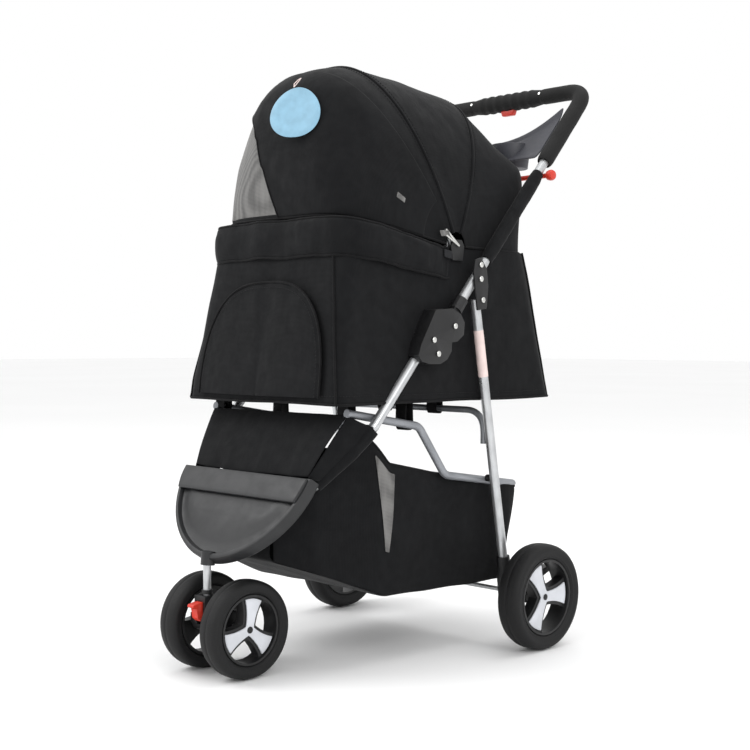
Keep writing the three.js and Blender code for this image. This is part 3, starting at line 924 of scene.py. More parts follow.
@dataclass
class Slope:
    """The line that the front legs and the handle tubes follow, seen from the side."""

    rise: float = 1.14
    leg_height: float = 0.462
    handle_y: float = 0.0846  # where the handle's line starts, beside the fold pivot
    handle_z: float = 0.5379

    @property
    def angle(self) -> float:
        """The line's angle above the floor."""
        return math.atan(self.rise)

    def leg(self, x: float, y: float) -> Vector:
        """A point of the front leg's line."""
        return at(x, y, self.leg_height + self.rise * y)

    def handle(self, x: float, run: float, lift: float = 0.0) -> Vector:
        """A point beside the handle's line, run along it from the fold pivot and lift above it."""
        c, s = math.cos(self.angle), math.sin(self.angle)
        return at(x, self.handle_y + run * c - lift * s, self.handle_z + run * s + lift * c)


SLOPE = Slope()
LEG_HALF = (
    (0.176, 0.024), (0.176, -0.040), (0.175, -0.072), (0.160, -0.104),
    (0.127, -0.148), (0.084, -0.192), (0.036, -0.220), (0.0, -0.226),
)  # the left half of the bent leg tube, as (x, y) on the slope


@dataclass
class FrontFrame:
    """The bent front leg tube with its caster stem, its riveted knuckles and the moulded tray over its bend."""

    tray_angle: float = math.radians(58)
    tray_half: float = 0.152
    tray_length: float = 0.150
    tray_powers: Point = (1.12, 0.98)  # across and along; 1 and 1 are half an ellipse
    stem_y: float = -0.254
    tray_z: float = 0.177

    def build(self) -> None:
        """Makes the front frame's pieces."""
        self.legs()
        self.knuckles()
        self.tray()

    def legs(self) -> None:
        """The leg tube and the stem."""
        line = rounded(both_sides([SLOPE.leg(x, y) for x, y in LEG_HALF]), 0.022, 6)
        dress(Bench.tube("leg_tube", line, TUBE_RADIUS), STEEL, Body.FRONT, Slot.STEEL, "front_leg_frame")
        low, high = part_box("front_stem")
        middle = (low + high) / 2
        stem = [Vector((0, middle.y, low.z)), Vector((0, middle.y, high.z + 0.006))]
        dress(Bench.tube("caster_stem", stem, 0.006), STEEL, Body.FRONT, Slot.STEEL, "front_stem")
        ends = [Vector((0, middle.y, low.z + rise)) for rise in (0.014, 0.020)]
        collar = Bench.tube("stem_collar", ends, 0.0085)
        dress(collar, PLASTIC, Body.FRONT, Slot.PLASTIC)

    def knuckles(self) -> None:
        """Both halves of the fold joint, and their rivets."""
        for side, sign in SIDES:
            lower, upper = f"lower_knuckle_{side}", f"upper_knuckle_{side}"
            moulded(lower, f"fold_fork_{side}", 0.0022, PLASTIC, Body.FRONT, Slot.PLASTIC)
            moulded(upper, f"fold_tongue_{side}", 0.0010, PLASTIC, Body.HANDLE, Slot.PLASTIC)
            heads = [
                Bench.rivet("head", at(sign * 0.1958, y, z), 0.0046, 0.0022, sign)
                for y, z in ((0.040, 0.512), (0.050, 0.490), (0.089, 0.534))
            ]
            dress(Bench.joined(f"fold_rivets_{side}", heads), RIVET_STEEL, Body.FRONT, Slot.STEEL)

    def tray_point(self, angle: float, inset: float, height: float) -> Vector:
        """A point of the tray, in its own tilted plane.

        Args:
            angle: round the outline, 0 at the left end of the straight edge.
            inset: how far inside the outline.
            height: how far above the tray's face.

        Returns:
            The point.
        """
        c, s = math.cos(angle), max(0.0, math.sin(angle))
        half, length = self.tray_half - inset, self.tray_length - 2 * inset
        x = half * powered(c, self.tray_powers[0])
        y = self.tray_length - inset - length * s ** self.tray_powers[1]
        tilt = Matrix.Rotation(self.tray_angle, 3, "X")
        return tilt @ Vector((x, y, height)) + at(0, self.stem_y, self.tray_z)

    def tray(self) -> None:
        """The D-shaped shield: a rolled rim, a flat band along its top and a shallow dish below."""
        steps = 48
        levels = [  # (inset, height) from the skirt's inside over the rim to the dish
            (0.004, -0.013), (0.0015, -0.0148), (0.0, -0.013), (0.0, 0.003), (0.0012, 0.0056),
            (0.0045, 0.0066), (0.0085, 0.0062), (0.0105, 0.0040), (0.0125, -0.0005), (0.018, -0.0015),
            (0.032, 0.0008), (0.050, 0.0040), (0.068, 0.0052),
        ]
        rings = []
        for inset, height in levels:
            arc = [self.tray_point(math.pi * i / steps, inset, height) for i in range(steps + 1)]
            flat = [arc[-1].lerp(arc[0], k / 16) for k in range(1, 16)]
            rings.append([*arc, *flat])
        shell = Bench.soften(Bench.loft("front_shield", rings), 32)
        band = self.tray_band()
        boss_ends = [at(0, self.stem_y + 0.001, 0.1695), at(0, self.stem_y + 0.003, 0.190)]
        shield = Bench.joined("front_shield", [shell, band, Bench.tube("boss", boss_ends, 0.011)])
        dress(shield, TRAY_PLASTIC, Body.FRONT, Slot.TRAY, "front_tray")

    def tray_band(self) -> bpy.types.Object:
        """The raised flat band along the tray's straight edge."""
        tilt, origin = Matrix.Rotation(self.tray_angle, 3, "X"), at(0, self.stem_y, self.tray_z)
        across, down = self.tray_powers
        inset = 0.0035

        def place(u: float, v: float) -> Vector:
            """The band's top face, as wide as the outline is there.

            Args:
                u: the share across.
                v: the share up.

            Returns:
                The point.
            """
            local = mix(0.1475, 0.1080, v)
            sine = ((self.tray_length - local) / self.tray_length) ** (1 / down)
            half = self.tray_half * (1 - sine**2) ** (across / 2) - inset
            crown = 0.0068 + 0.0012 * math.sin(math.pi * v)
            return tilt @ Vector((mix(-half, half, u), local, crown)) + origin

        band = Bench.sheet("band", 32, 6, place)
        Bench.modify(band, "SOLIDIFY", thickness=0.0065, offset=0.0)
        Bench.chamfer(band, 0.0014, 3)
        return Bench.soften(band, 40)


@dataclass
class Handle:
    """The push handle: its tube, grips, finger housing, trigger, cup tray and lock bar."""

    x: float = 0.182
    end: float = 0.562
    corner: float = 0.046
    grip_from: float = 0.372
    grip_radius: float = 0.0142
    housing_half: float = 0.098
    lock_run: float = 0.354

    def line(self, start: float, stop_x: float | None = None) -> list[Vector]:
        """The tube's centreline from a run along the slope, over the whole handle or to an x on the left.

        Args:
            start: the run where it starts.
            stop_x: where it stops, left of the middle.

        Returns:
            The line.
        """
        places = ((self.x, start), (self.x, self.end), (stop_x or 0.0, self.end))
        half = rounded([SLOPE.handle(x, run) for x, run in places], self.corner, 12)
        return half if stop_x else both_sides(half)

    def build(self) -> None:
        """Makes the handle's pieces."""
        dress(Bench.tube("push_tube", self.line(0.034), TUBE_RADIUS), STEEL, Body.HANDLE, Slot.STEEL, "handle_tube")
        for side, sign in SIDES:
            self.grip(side, sign)
            self.sleeve(side, sign)
        self.housing()
        self.cup_tray()
        self.lock()

    def grip(self, side: str, sign: float) -> None:
        """A foam grip round one corner, with rolled ends.

        Args:
            side: left or right.
            sign: 1 on the left, -1 on the right.
        """
        steps = 64
        line = resample(self.line(self.grip_from, 0.079), steps)
        total, rings = length_of(line), []
        turns = [math.tau * k / 24 for k in range(24)]
        across = (line[1] - line[0]).normalized().orthogonal()
        for i, point in enumerate(line):
            ahead = (line[min(i + 1, steps)] - line[max(i - 1, 0)]).normalized()
            place = total * i / steps
            near = min(place, total - place)
            radius = self.grip_radius * (0.86 + 0.14 * min(1.0, near / 0.006))
            radius += 0.0003 * noise.noise(point * 55)
            across = (across - ahead * across.dot(ahead)).normalized()
            other = ahead.cross(across)
            ring = [point + (across * math.cos(t) + other * math.sin(t)) * radius for t in turns]
            rings.append(mirrored(ring, sign))
        grip = Bench.soften(Bench.loft(f"foam_grip_{side}", rings), 50)
        dress(grip, GRIP_FOAM, Body.HANDLE, Slot.FOAM, f"grip_{side}")

    def sleeve(self, side: str, sign: float) -> None:
        """The cloth sleeve that ties the hood's back corner to the tube.

        Args:
            side: left or right.
            sign: 1 on the left, -1 on the right.
        """
        rings = []
        for i in range(29):
            run = mix(0.140, 0.345, i / 28)
            ends = smooth(0, 0.1, i / 28) * smooth(0, 0.08, 1 - i / 28)
            ring = []
            for k in range(24):
                turn = math.tau * k / 24
                c, s = math.cos(turn), math.sin(turn)
                wave = 1 + 0.07 * uneven(run * 60, c * 1.5, s * 1.5)
                width = mix(0.0092, 0.0105, ends) * wave
                lift = mix(0.0095, 0.0120, ends) * wave
                x = sign * (0.1835 + width * powered(c, 0.8) * 0.92)
                ring.append(SLOPE.handle(x, run, lift * powered(s, 0.9)))
            rings.append(ring)
        sleeve = Bench.soften(Bench.loft(f"tube_sleeve_{side}", rings), 60)
        dress(sleeve, CLOTH, Body.HANDLE, Slot.CLOTH)

    def housing(self) -> None:
        """The ribbed finger housing in the middle, its rivets, and the trigger."""
        middle, half, steps = SLOPE.handle(0, self.end), self.housing_half, 64
        outer = []
        for i in range(steps + 1):
            x = mix(-half, half, i / steps)
            waist = 0.0118 + 0.0042 * smooth(half, 0.052, abs(x))
            ribs = 0.0009 * math.cos(x * 320) * smooth(0.07, 0.05, abs(x))
            outer.append((waist + ribs, x))
        profile = [(0.0092, -half), *outer, (0.0092, half)]
        body = Bench.revolve("finger_housing", profile, middle, 40)
        dress(body, GRIP_FOAM, Body.HANDLE, Slot.PLASTIC, "handle_housing")
        heads = []
        for x in (-0.082, 0.082):
            ends = [middle + Vector((x, -0.0105, 0.004)), middle + Vector((x, -0.0135, 0.005))]
            heads.append(Bench.tube("head", ends, 0.0026))
        dress(Bench.joined("housing_rivets", heads), RIVET_STEEL, Body.HANDLE, Slot.STEEL)
        moulded("fold_trigger", "pull_trigger", 0.0018, RED_PLASTIC, Body.TRIGGER, Slot.RED)

    def cup_tray(self) -> None:
        """The cup tray: a curved deck that climbs along the tubes, with a rolled edge and two wells."""
        wide = 0.1665

        def place(u: float, v: float) -> Vector:
            """The deck's face, with a lip along its front and back.

            Args:
                u: the share across.
                v: the share up.

            Returns:
                The point.
            """
            x = mix(-wide, wide, u)
            share = abs(x) / wide
            top = 0.424 + 0.082 * share**4
            run = mix(0.376, top, v)
            lip = 0.008 * smooth(0.85, 1.0, v) + 0.004 * smooth(0.15, 0.0, v)
            return SLOPE.handle(x, run, 0.006 + lip)

        deck = Bench.sheet("deck", 48, 12, place)
        Bench.modify(deck, "SOLIDIFY", thickness=0.0045, offset=0.0)
        Bench.modify(deck, "SUBSURF", levels=1, render_levels=1)
        wells = [self.well(x) for x in (-0.084, 0.084)]
        tray = Bench.soften(Bench.joined("cup_holder", [deck, *wells]), 40)
        dress(tray, CUP_PLASTIC, Body.HANDLE, Slot.CUP, "cup_tray")

    def well(self, x: float) -> bpy.types.Object:
        """A tapered cup well under the deck.

        Args:
            x: the place of its middle.

        Returns:
            The well, open at its top.
        """
        rim, taper = at(x, 0.3585, 0.838), 0.86
        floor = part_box("cup_tray")[0].z + 0.001
        bpy.ops.object.select_all(action="DESELECT")
        bpy.ops.mesh.primitive_cylinder_add(
            vertices=48, radius=0.036, depth=0.046, location=rim, end_fill_type="NOTHING"
        )
        well = Bench.name("well")
        Bench.only(well)
        bpy.ops.object.transform_apply(location=True, rotation=True, scale=True)
        for corner in well.data.vertices:
            if corner.co.z < rim.z:
                corner.co.x = rim.x + (corner.co.x - rim.x) * taper
                corner.co.y = rim.y + (corner.co.y - rim.y) * taper
                corner.co.z = floor
        self.well_floor(well, floor)
        Bench.modify(well, "SOLIDIFY", thickness=0.0024, offset=-1.0)
        return Bench.chamfer(well, 0.0009, 2)

    @staticmethod
    def well_floor(well: bpy.types.Object, floor: float) -> None:
        """Closes a well's lower ring.

        Args:
            well: the open well.
            floor: the height of the ring.
        """
        Bench.edit(well, lambda: bpy.ops.mesh.select_all(action="DESELECT"))
        for corner in well.data.vertices:
            corner.select = corner.co.z < floor + 1e-4
        bpy.ops.object.mode_set(mode="EDIT")
        bpy.ops.mesh.edge_face_add()
        bpy.ops.mesh.select_all(action="SELECT")
        bpy.ops.mesh.normals_make_consistent(inside=False)
        bpy.ops.object.mode_set(mode="OBJECT")

    def lock(self) -> None:
        """The red bar that is lifted to let the handle fold, and its round end knobs."""
        corners = [(-0.197, -0.014), (-0.15, -0.014), (0.0, -0.018), (0.15, -0.014), (0.197, -0.014)]
        line = rounded([SLOPE.handle(x, self.lock_run, lift) for x, lift in corners], 0.06, 6)
        bar = Bench.tube("bar", line, 0.0042)
        centre, knobs = SLOPE.handle(0, self.lock_run, -0.014), []
        profile = [
            (0.0045, 0.1915), (0.008, 0.1925), (0.0092, 0.1965), (0.0092, 0.2005),
            (0.0075, 0.2038), (0.0004, 0.2046), (0.0004, 0.1915),
        ]
        for sign in (-1, 1):
            knobs.append(Bench.revolve("knob", [(r, sign * x) for r, x in profile], centre, 32))
        dress(Bench.joined("fold_lock_bar", [bar, *knobs]), RED_PLASTIC, Body.LOCK, Slot.RED, "lock_bar")


@dataclass
class RearFrame:
    """The rear legs with their brackets, crossbar, axle and foot brakes, and the lower link under the cabin."""

    leg_x: float = 0.183

    def leg(self, z: float) -> Vector:
        """A point of the left rear leg's centreline."""
        return at(self.leg_x, 0.1534 - 0.1734 * (z - 0.559), z)

    def build(self) -> None:
        """Makes the rear frame's pieces and the link."""
        for side, sign in SIDES:
            ends = [self.leg(0.118), self.leg(0.578)]
            tube = Bench.tube(f"rear_tube_{side}", mirrored(ends, sign), TUBE_RADIUS)
            dress(tube, STEEL, Body.REAR, Slot.STEEL, f"rear_leg_{side}")
            rear = (PLASTIC, Body.REAR, Slot.PLASTIC)
            moulded(f"leg_bracket_{side}", f"bracket_plate_{side}", 0.0013, *rear)
            places = ((0.155, 0.577), (0.150, 0.611), (0.150, 0.634))
            heads = [Bench.rivet("head", at(sign * 0.1969, y, z), 0.0046, 0.0020, sign) for y, z in places]
            dress(Bench.joined(f"bracket_rivets_{side}", heads), RIVET_STEEL, Body.REAR, Slot.STEEL)
            moulded(f"axle_foot_{side}", f"axle_housing_{side}", 0.0015, *rear)
            pedal = f"brake_pedal_{side}"
            moulded(pedal, f"foot_brake_{side}", 0.0015, PLASTIC, f"brake_{side}", Slot.PLASTIC)
            moulded(f"link_spacer_{side}", f"spacer_{side}", 0.0006, *rear, 35)
            if sign > 0:
                self.label(side)
        self.crossbar()
        self.link()

    def label(self, side: str) -> None:
        """A blank wrap-round label on the left rear leg.

        Args:
            side: the word for the name.
        """
        line = [self.leg(mix(0.452, 0.528, k / 8)) for k in range(9)]
        band = Bench.tube(f"leg_label_{side}", line, 0.00835)
        dress(band, LABEL, Body.REAR, Slot.TAG)

    def crossbar(self) -> None:
        """The arched bar between the rear legs, and the axle."""
        foot = self.leg(0.345)
        corners = [Vector((x, foot.y, z)) for x, z in ((0.1685, 0.340), (0.1685, 0.395), (0.0, 0.395))]
        line = both_sides(rounded(corners, 0.038, 10))
        dress(Bench.tube("arched_crossbar", line, 0.0055), LINK_STEEL, Body.REAR, Slot.STEEL, "rear_crossbar")
        axle("axle_rod", "rear_axle", Body.REAR)

    def link(self) -> None:
        """The grey cranked tube under the cabin, with its pivot pins."""
        half = 0.160
        bends = [(-0.115, 0.401), (0.042, 0.375), (0.104, 0.293), (0.290, 0.265)]
        corners = [*(at(half, y, z) for y, z in bends), at(0, *bends[-1])]
        line = both_sides(rounded(corners, 0.026, 8))
        tube = Bench.tube("link_tube", line, 0.0065)
        pivot = Vector((0, *JOINTS["link_swing"]["pos_m"][1:]))
        pins = []
        for _, sign in reversed(SIDES):
            ends = [pivot + Vector((sign * x, 0, 0)) for x in (half, half + 0.0075)]
            pins.append(Bench.tube("pin", ends, ROD_RADIUS))
        dress(Bench.joined("link_bar", [tube, *pins]), LINK_STEEL, Body.LINK, Slot.LINK, "lower_link")


@dataclass
class Wheel:
    """One kind of wheel: a foam tyre on a three-spoked hub with a flared silver cap."""

    name: str
    radius: float
    width: float
    x: float

    def build(self) -> None:
        """Makes both wheels of this kind."""
        for side, sign in SIDES:
            low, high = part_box(f"{self.name}_tyre_{side}")
            centre = (low + high) / 2
            body = f"{self.name}_wheel_{side}"
            self.tyre(side, centre, body)
            hub, cap = f"{self.name}_hub_{side}", f"{self.name}_spoke_cap_{side}"
            moulded(hub, f"{self.name}_spokes_{side}", 0.0013, PLASTIC, body, Slot.PLASTIC, 24)
            moulded(cap, f"{self.name}_star_cap_{side}", 0.0011, CAP_PLASTIC, body, Slot.CAP, 24)
            outer = high.x if sign > 0 else low.x
            screw = Vector((outer - sign * (self.width * 0.275 - 0.0032), centre.y, centre.z))
            head = Bench.rivet(f"{self.name}_screw_{side}", screw, 0.0052, 0.0022, sign)
            dress(head, PLASTIC, body, Slot.PLASTIC)

    def tyre(self, side: str, centre: Vector, body: str) -> None:
        """A tyre with soft shoulders, shallow side beads and a moulding line round the tread.

        Args:
            side: left or right.
            centre: the wheel's middle.
            body: the body that it rides on.
        """
        bead, groove = (0.723, 0.70), (0.9945, 0.02)
        shares = (  # of the wheel's radius, and of half its width
            bead, (0.723 + 0.0012 / self.radius, 0.80), (0.775, 0.90), (0.80, 0.885), (0.86, 0.985),
            (0.92, 0.965), (0.962, 0.83), (0.985, 0.60), (0.997, 0.30), (0.9995, 0.05), groove,
        )
        right = [(r * self.radius, x * self.width / 2) for r, x in shares]
        profile = [*right, *((r, -x) for r, x in reversed(right))]
        tyre = Bench.revolve(f"{self.name}_foam_tyre_{side}", profile, centre, 96)
        dress(tyre, TYRE_FOAM, body, Slot.TYRE, f"{self.name}_tyre_{side}")


@dataclass
class Caster:
    """The front swivelling fork with its axle and its red lock lever."""

    def build(self) -> None:
        """Makes the caster's pieces."""
        moulded("caster_fork", "swivel_fork", 0.0018, PLASTIC, Body.CASTER, Slot.PLASTIC)
        axle("front_axle_rod", "front_axle", Body.CASTER)
        moulded("swivel_lock", "swivel_lever", 0.0012, RED_PLASTIC, Body.SWIVEL, Slot.RED)


# ---- cabin ----


@dataclass
class Cabin:
    """The sewn cabin: a tub of four walls, its piped seams, rolled rim, arched front door, floor and pad."""

    half: float = 0.1640
    front_low: float = -0.154
    front_high: float = -0.111
    rear_low: float = 0.3536
    rear_high: float = 0.3045
    floor_z: float = 0.4150
    lifted_z: float = 0.458  # a height a little above the floor
    corner: float = 0.020
    columns: int = 168
    levels: int = 44

    def __post_init__(self) -> None:
        """Lays out the walls' plan at every level."""
        self.rings = [self.plan(k / self.levels) for k in range(self.levels + 1)]

    def top(self, y: float) -> float:
        """The height of the walls' upper edge."""
        return along(((-0.116, 0.695), (0.086, 0.6605), (0.31, 0.6615)), y)

    def plan(self, share: float) -> list[Vector]:
        """The tub's outline at a share of its height.

        Args:
            share: 0 at the floor, 1 at the upper edge.

        Returns:
            A ring of points at zero height, anticlockwise from the front left corner's front.
        """
        front = mix(self.front_low, self.front_high, share)
        rear = along(((0, self.rear_low), (0.86, 0.3135), (1, self.rear_high)), share)
        flare = (1 - share) ** 1.3
        wide, back = self.half - 0.003 * share + 0.019 * flare, self.half + 0.003 + 0.013 * flare
        waist = self.half + 0.004 + 0.003 * flare
        sides = [(wide, front), (self.half + 0.002, 0.13), (waist, 0.20), (back, rear)]
        corners = [at(-wide, front, 0), *(at(x, y, 0) for x, y in sides)]
        corners += [at(-x, y, 0) for x, y in reversed(sides[1:])]
        line = rounded(corners, mix(0.014, 0.034, share), 6, ring=True)
        narrow = lambda p: smooth(-0.095, -0.045, p.y + SHIFT) * smooth(0.15, 0.11, p.y + SHIFT)
        for p in line:
            p.x = math.copysign(mix(abs(p.x), min(abs(p.x), self.half), narrow(p)), p.x)
        return resample([*line, line[0]], self.columns)[:-1]

    def wall(self, share_round: float, share: float, out: float = 0.0) -> Vector:
        """A point on the walls.

        Args:
            share_round: how far round the plan.
            share: how far up.
            out: how far outside the cloth.

        Returns:
            The point.
        """
        ring = self.rings[round(share * self.levels)]
        count = len(ring)
        i = round(share_round * count) % count
        p, ahead = ring[i], (ring[(i + 1) % count] - ring[i - 1]).normalized()
        normal = Vector((ahead.y, -ahead.x, 0))
        y = p.y + SHIFT
        z = mix(self.floor_z, self.top(y), share)
        inward = min(1.0, max(0.0, (self.half - abs(p.x) * 0.999) / self.half))
        swell = 0.004 * math.sin(math.pi * share) ** 0.7 * math.sin(math.pi * inward) ** 0.5
        spot = Vector((p.x, y, z))
        long = uneven(p.x * 5, y * 9 + z * 3, z * 3.5 + 4)
        fine = uneven(p.x * 26 + 3, y * 26 - z * 12, z * 15)
        quiet = 1 - 0.6 * smooth(0.14, 0.165, abs(p.x)) * (1 if y > -0.04 else 0)
        swell += (0.0042 * long + 0.0017 * fine) * quiet * smooth(0, 0.12, share)
        z += 0.0022 * noise.noise(spot * 7) * (1 - smooth(0, 0.25, share))
        return Vector((p.x, p.y, z)) + normal * (swell + out)

    def build(self) -> None:
        """Makes the cabin's pieces."""
        tub = Bench.close(Bench.sheet("cabin_walls", self.columns, self.levels, self.wall), caps=False)
        Bench.thicken(tub, 0.0022)
        walls = ("cabin_front_wall", "cabin_rear_wall", "cabin_side_left", "cabin_side_right")
        dress(tub, CLOTH, Body.FRONT, Slot.CLOTH, *walls)
        self.seams()
        self.floor()
        self.rim()
        self.pocket()
        self.pad()

    def seams(self) -> None:
        """The piping up the four corners and round the floor."""
        count, ring, cords = self.columns, self.rings[0], []
        for x, y in ((0.18, -0.152), (-0.18, -0.152), (0.178, 0.354), (-0.178, 0.354)):
            spot = min(range(count), key=lambda i: (ring[i] - at(x, y, 0)).length)
            line = [self.wall(spot / count, k / self.levels, 0.0020) for k in range(0, self.levels + 1)]
            cords.append(Bench.tube("cord", resample(line, 40), 0.0019, 3))
        base = [self.wall(i / count, 0.0, 0.0012) for i in range(count)]
        cords.append(Bench.tube("cord", base, 0.0021, 3, ring=True))
        dress(Bench.joined("cabin_piping", cords), PIPING, Body.FRONT, Slot.CLOTH)
        row = [self.wall(i / count, 2 / self.levels, 0.0016) for i in range(count + 1)]
        dress(Bench.stitches("floor_seam_stitches", row), THREAD, Body.FRONT, Slot.CLOTH)

    def floor(self) -> None:
        """The floor panel, slack between the seams."""

        def place(u: float, v: float) -> Vector:
            """The floor's face, with rounded corners and a sag.

            Args:
                u: the share across.
                v: the share up.

            Returns:
                The point.
            """
            y = mix(self.front_low + 0.002, self.rear_low - 0.002, v)
            short = min(y - self.front_low, self.rear_low - y, self.corner)
            inset = self.corner - math.sqrt(max(0.0, self.corner**2 - (self.corner - short) ** 2))
            half = along(((-0.154, 0.180), (-0.03, 0.1645), (0.13, 0.165), (0.354, 0.178)), y) - inset
            x = mix(-half, half, u)
            sag = 0.0035 * math.sin(math.pi * u) * math.sin(math.pi * v)
            return at(x, y, self.floor_z - 0.0004 - sag + 0.0008 * noise.noise(Vector((x, y, 0)) * 20))

        floor = Bench.thicken(Bench.sheet("floor_panel", 32, 44, place), 0.0028)
        dress(floor, CLOTH, Body.FRONT, Slot.CLOTH, "cabin_floor")
        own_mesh(floor)

    def rim(self) -> None:
        """The rolled band round the front of the opening, with a piped edge above and below."""
        half, front = 0.1625, -0.1160
        left = [at(half + 0.002, 0.104, 0), at(half, front, 0)]
        line = resample(rounded(both_sides(left), 0.044, 8), 132)
        upper, lower, rings = [], [], []
        for i, p in enumerate(line):
            ahead = (line[min(i + 1, 132)] - line[max(i - 1, 0)]).normalized()
            normal = Vector((-ahead.y, ahead.x, 0))
            normal = normal if normal.dot(Vector((p.x, p.y + SHIFT - 0.05, 0))) > 0 else -normal
            y = p.y + SHIFT
            wave = 0.0022 * uneven(p.x * 16, y * 16, 0)
            wave += 0.0012 * uneven(p.x * 45, y * 45, 5)
            ends = smooth(0, 0.12, i / 132) * smooth(0, 0.12, 1 - i / 132)
            low = along(((-0.128, 0.6420), (0.086, 0.6120)), y) + wave
            high = along(((-0.128, 0.6990), (0.086, 0.6600)), y) + wave * 0.6
            ring = []
            for k in range(20):
                turn = math.tau * k / 20
                c, s = math.cos(turn), math.sin(turn)
                thick = mix(0.0024, 0.0078, ends) * (1 + 0.25 * uneven(p.x * 22, y * 22, s * 2))
                out = thick * (1 + powered(c, 0.8)) - 0.001 + wave
                z = mix(low, high, 0.5 + 0.5 * powered(s, 0.75))
                ring.append(p + normal * out + Vector((0, 0, z)))
            rings.append(ring)
            upper.append(ring[5] + normal * 0.0012 + Vector((0, 0, 0.0006)))
            lower.append(ring[15] + normal * 0.0020 - Vector((0, 0, 0.0004)))
        band = Bench.loft("rolled_rim", rings)
        Bench.modify(band, "SUBSURF", levels=1, render_levels=1)
        dress(Bench.soften(band, 60), CLOTH, Body.FRONT, Slot.CLOTH, "cabin_rim")
        cords = [Bench.tube("cord", upper, 0.0020, 3), Bench.tube("cord", lower, 0.0020, 3)]
        dress(Bench.joined("rim_piping", cords), PIPING, Body.FRONT, Slot.CLOTH)

    def pocket(self) -> None:
        """The arched door on the front wall: a padded panel with a piped, stitched edge."""
        wide, low, high = 0.146, 0.424, 0.602

        def arch(turn: float, inset: float) -> Point:
            """The door's outline, in x and z.

            Args:
                turn: the angle round it.
                inset: how far inside it.

            Returns:
                The place.
            """
            c, s = math.cos(turn), math.sin(turn)
            return (wide - inset) * powered(c, 0.72), low + (high - low - inset) * abs(s) ** 0.78

        def on_wall(x: float, z: float, out: float) -> Vector:
            """A point over the front wall.

            Args:
                x: across.
                z: up.
                out: how far outside the cloth.

            Returns:
                The point.
            """
            share = (z - self.floor_z) / (self.top(-0.12) - self.floor_z)
            y = mix(self.front_low, self.front_high, share)
            inward = max(0.0, math.sin(math.pi * (self.half - abs(x)) / self.half))
            swell = 0.004 * math.sin(math.pi * share) ** 0.7 * inward**0.5
            return at(x, y - swell - out - 0.0035, z)

        def place(u: float, v: float) -> Vector:
            """The door's face, from its foot's middle out to its outline.

            Args:
                u: the share across.
                v: the share up.

            Returns:
                The point.
            """
            edge_x, edge_z = arch(math.pi * u, 0.0)
            x, z = edge_x * v, mix(low, edge_z, v)
            crease = 0.0010 * uneven(x * 30, z * 30, 2)
            return on_wall(x, z, 0.0022 + 0.0028 * (1 - v**4) + crease)

        panel = Bench.thicken(Bench.sheet("front_door_panel", 48, 14, place), THIN_CLOTH)
        dress(panel, CLOTH, Body.FRONT, Slot.CLOTH)
        line = [on_wall(*arch(math.pi * k / 60, 0.0), 0.0034) for k in range(61)]
        dress(Bench.tube("door_piping", line, 0.0018, 3), PIPING, Body.FRONT, Slot.CLOTH)
        inner = [on_wall(*arch(math.pi * k / 60, 0.008), 0.0052) for k in range(61)]
        dress(Bench.stitches("door_stitches", inner), THREAD, Body.FRONT, Slot.CLOTH)

    def pad(self) -> None:
        """The loose floor cushion, swollen by a short cloth simulation."""
        low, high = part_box("cabin_pad")
        size, middle = high - low, (high + low) / 2
        bpy.ops.object.select_all(action="DESELECT")
        bpy.ops.mesh.primitive_cube_add(size=1.0, location=middle)
        pad = Bench.name("floor_cushion")
        pad.scale = (size.x - 0.012, size.y - 0.012, size.z - 0.010)
        Bench.only(pad)
        bpy.ops.object.transform_apply(location=True, rotation=True, scale=True)
        Bench.modify(pad, "BEVEL", width=0.006, segments=3)
        Bench.modify(pad, "REMESH", mode="VOXEL", voxel_size=0.006)
        self.swell(pad, 0.005)
        Bench.modify(pad, "SUBSURF", levels=1, render_levels=1)
        dress(Bench.soften(pad, 60), LINING, Body.FRONT, Slot.PAD, "cabin_pad")
        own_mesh(pad)

    @staticmethod
    def swell(pad: bpy.types.Object, most: float) -> None:
        """Blows a cushion up with Cloth, and caps how far each point moves.

        Args:
            pad: the remeshed cushion.
            most: the furthest that a point may move.
        """
        rest = [corner.co.copy() for corner in pad.data.vertices]
        cloth = pad.modifiers.new("Cloth", "CLOTH")
        cloth.settings.use_pressure = True
        cloth.settings.uniform_pressure_force = 4.0
        cloth.settings.effector_weights.gravity = 0.0
        for step in range(1, 13):
            bpy.context.scene.frame_set(step)
        Bench.only(pad)
        bpy.ops.object.modifier_apply(modifier=cloth.name)
        for corner, start in zip(pad.data.vertices, rest):
            move = corner.co - start
            if move.length > most:
                corner.co = start + move.normalized() * most
        bpy.context.scene.frame_set(1)


# ---- hood ----


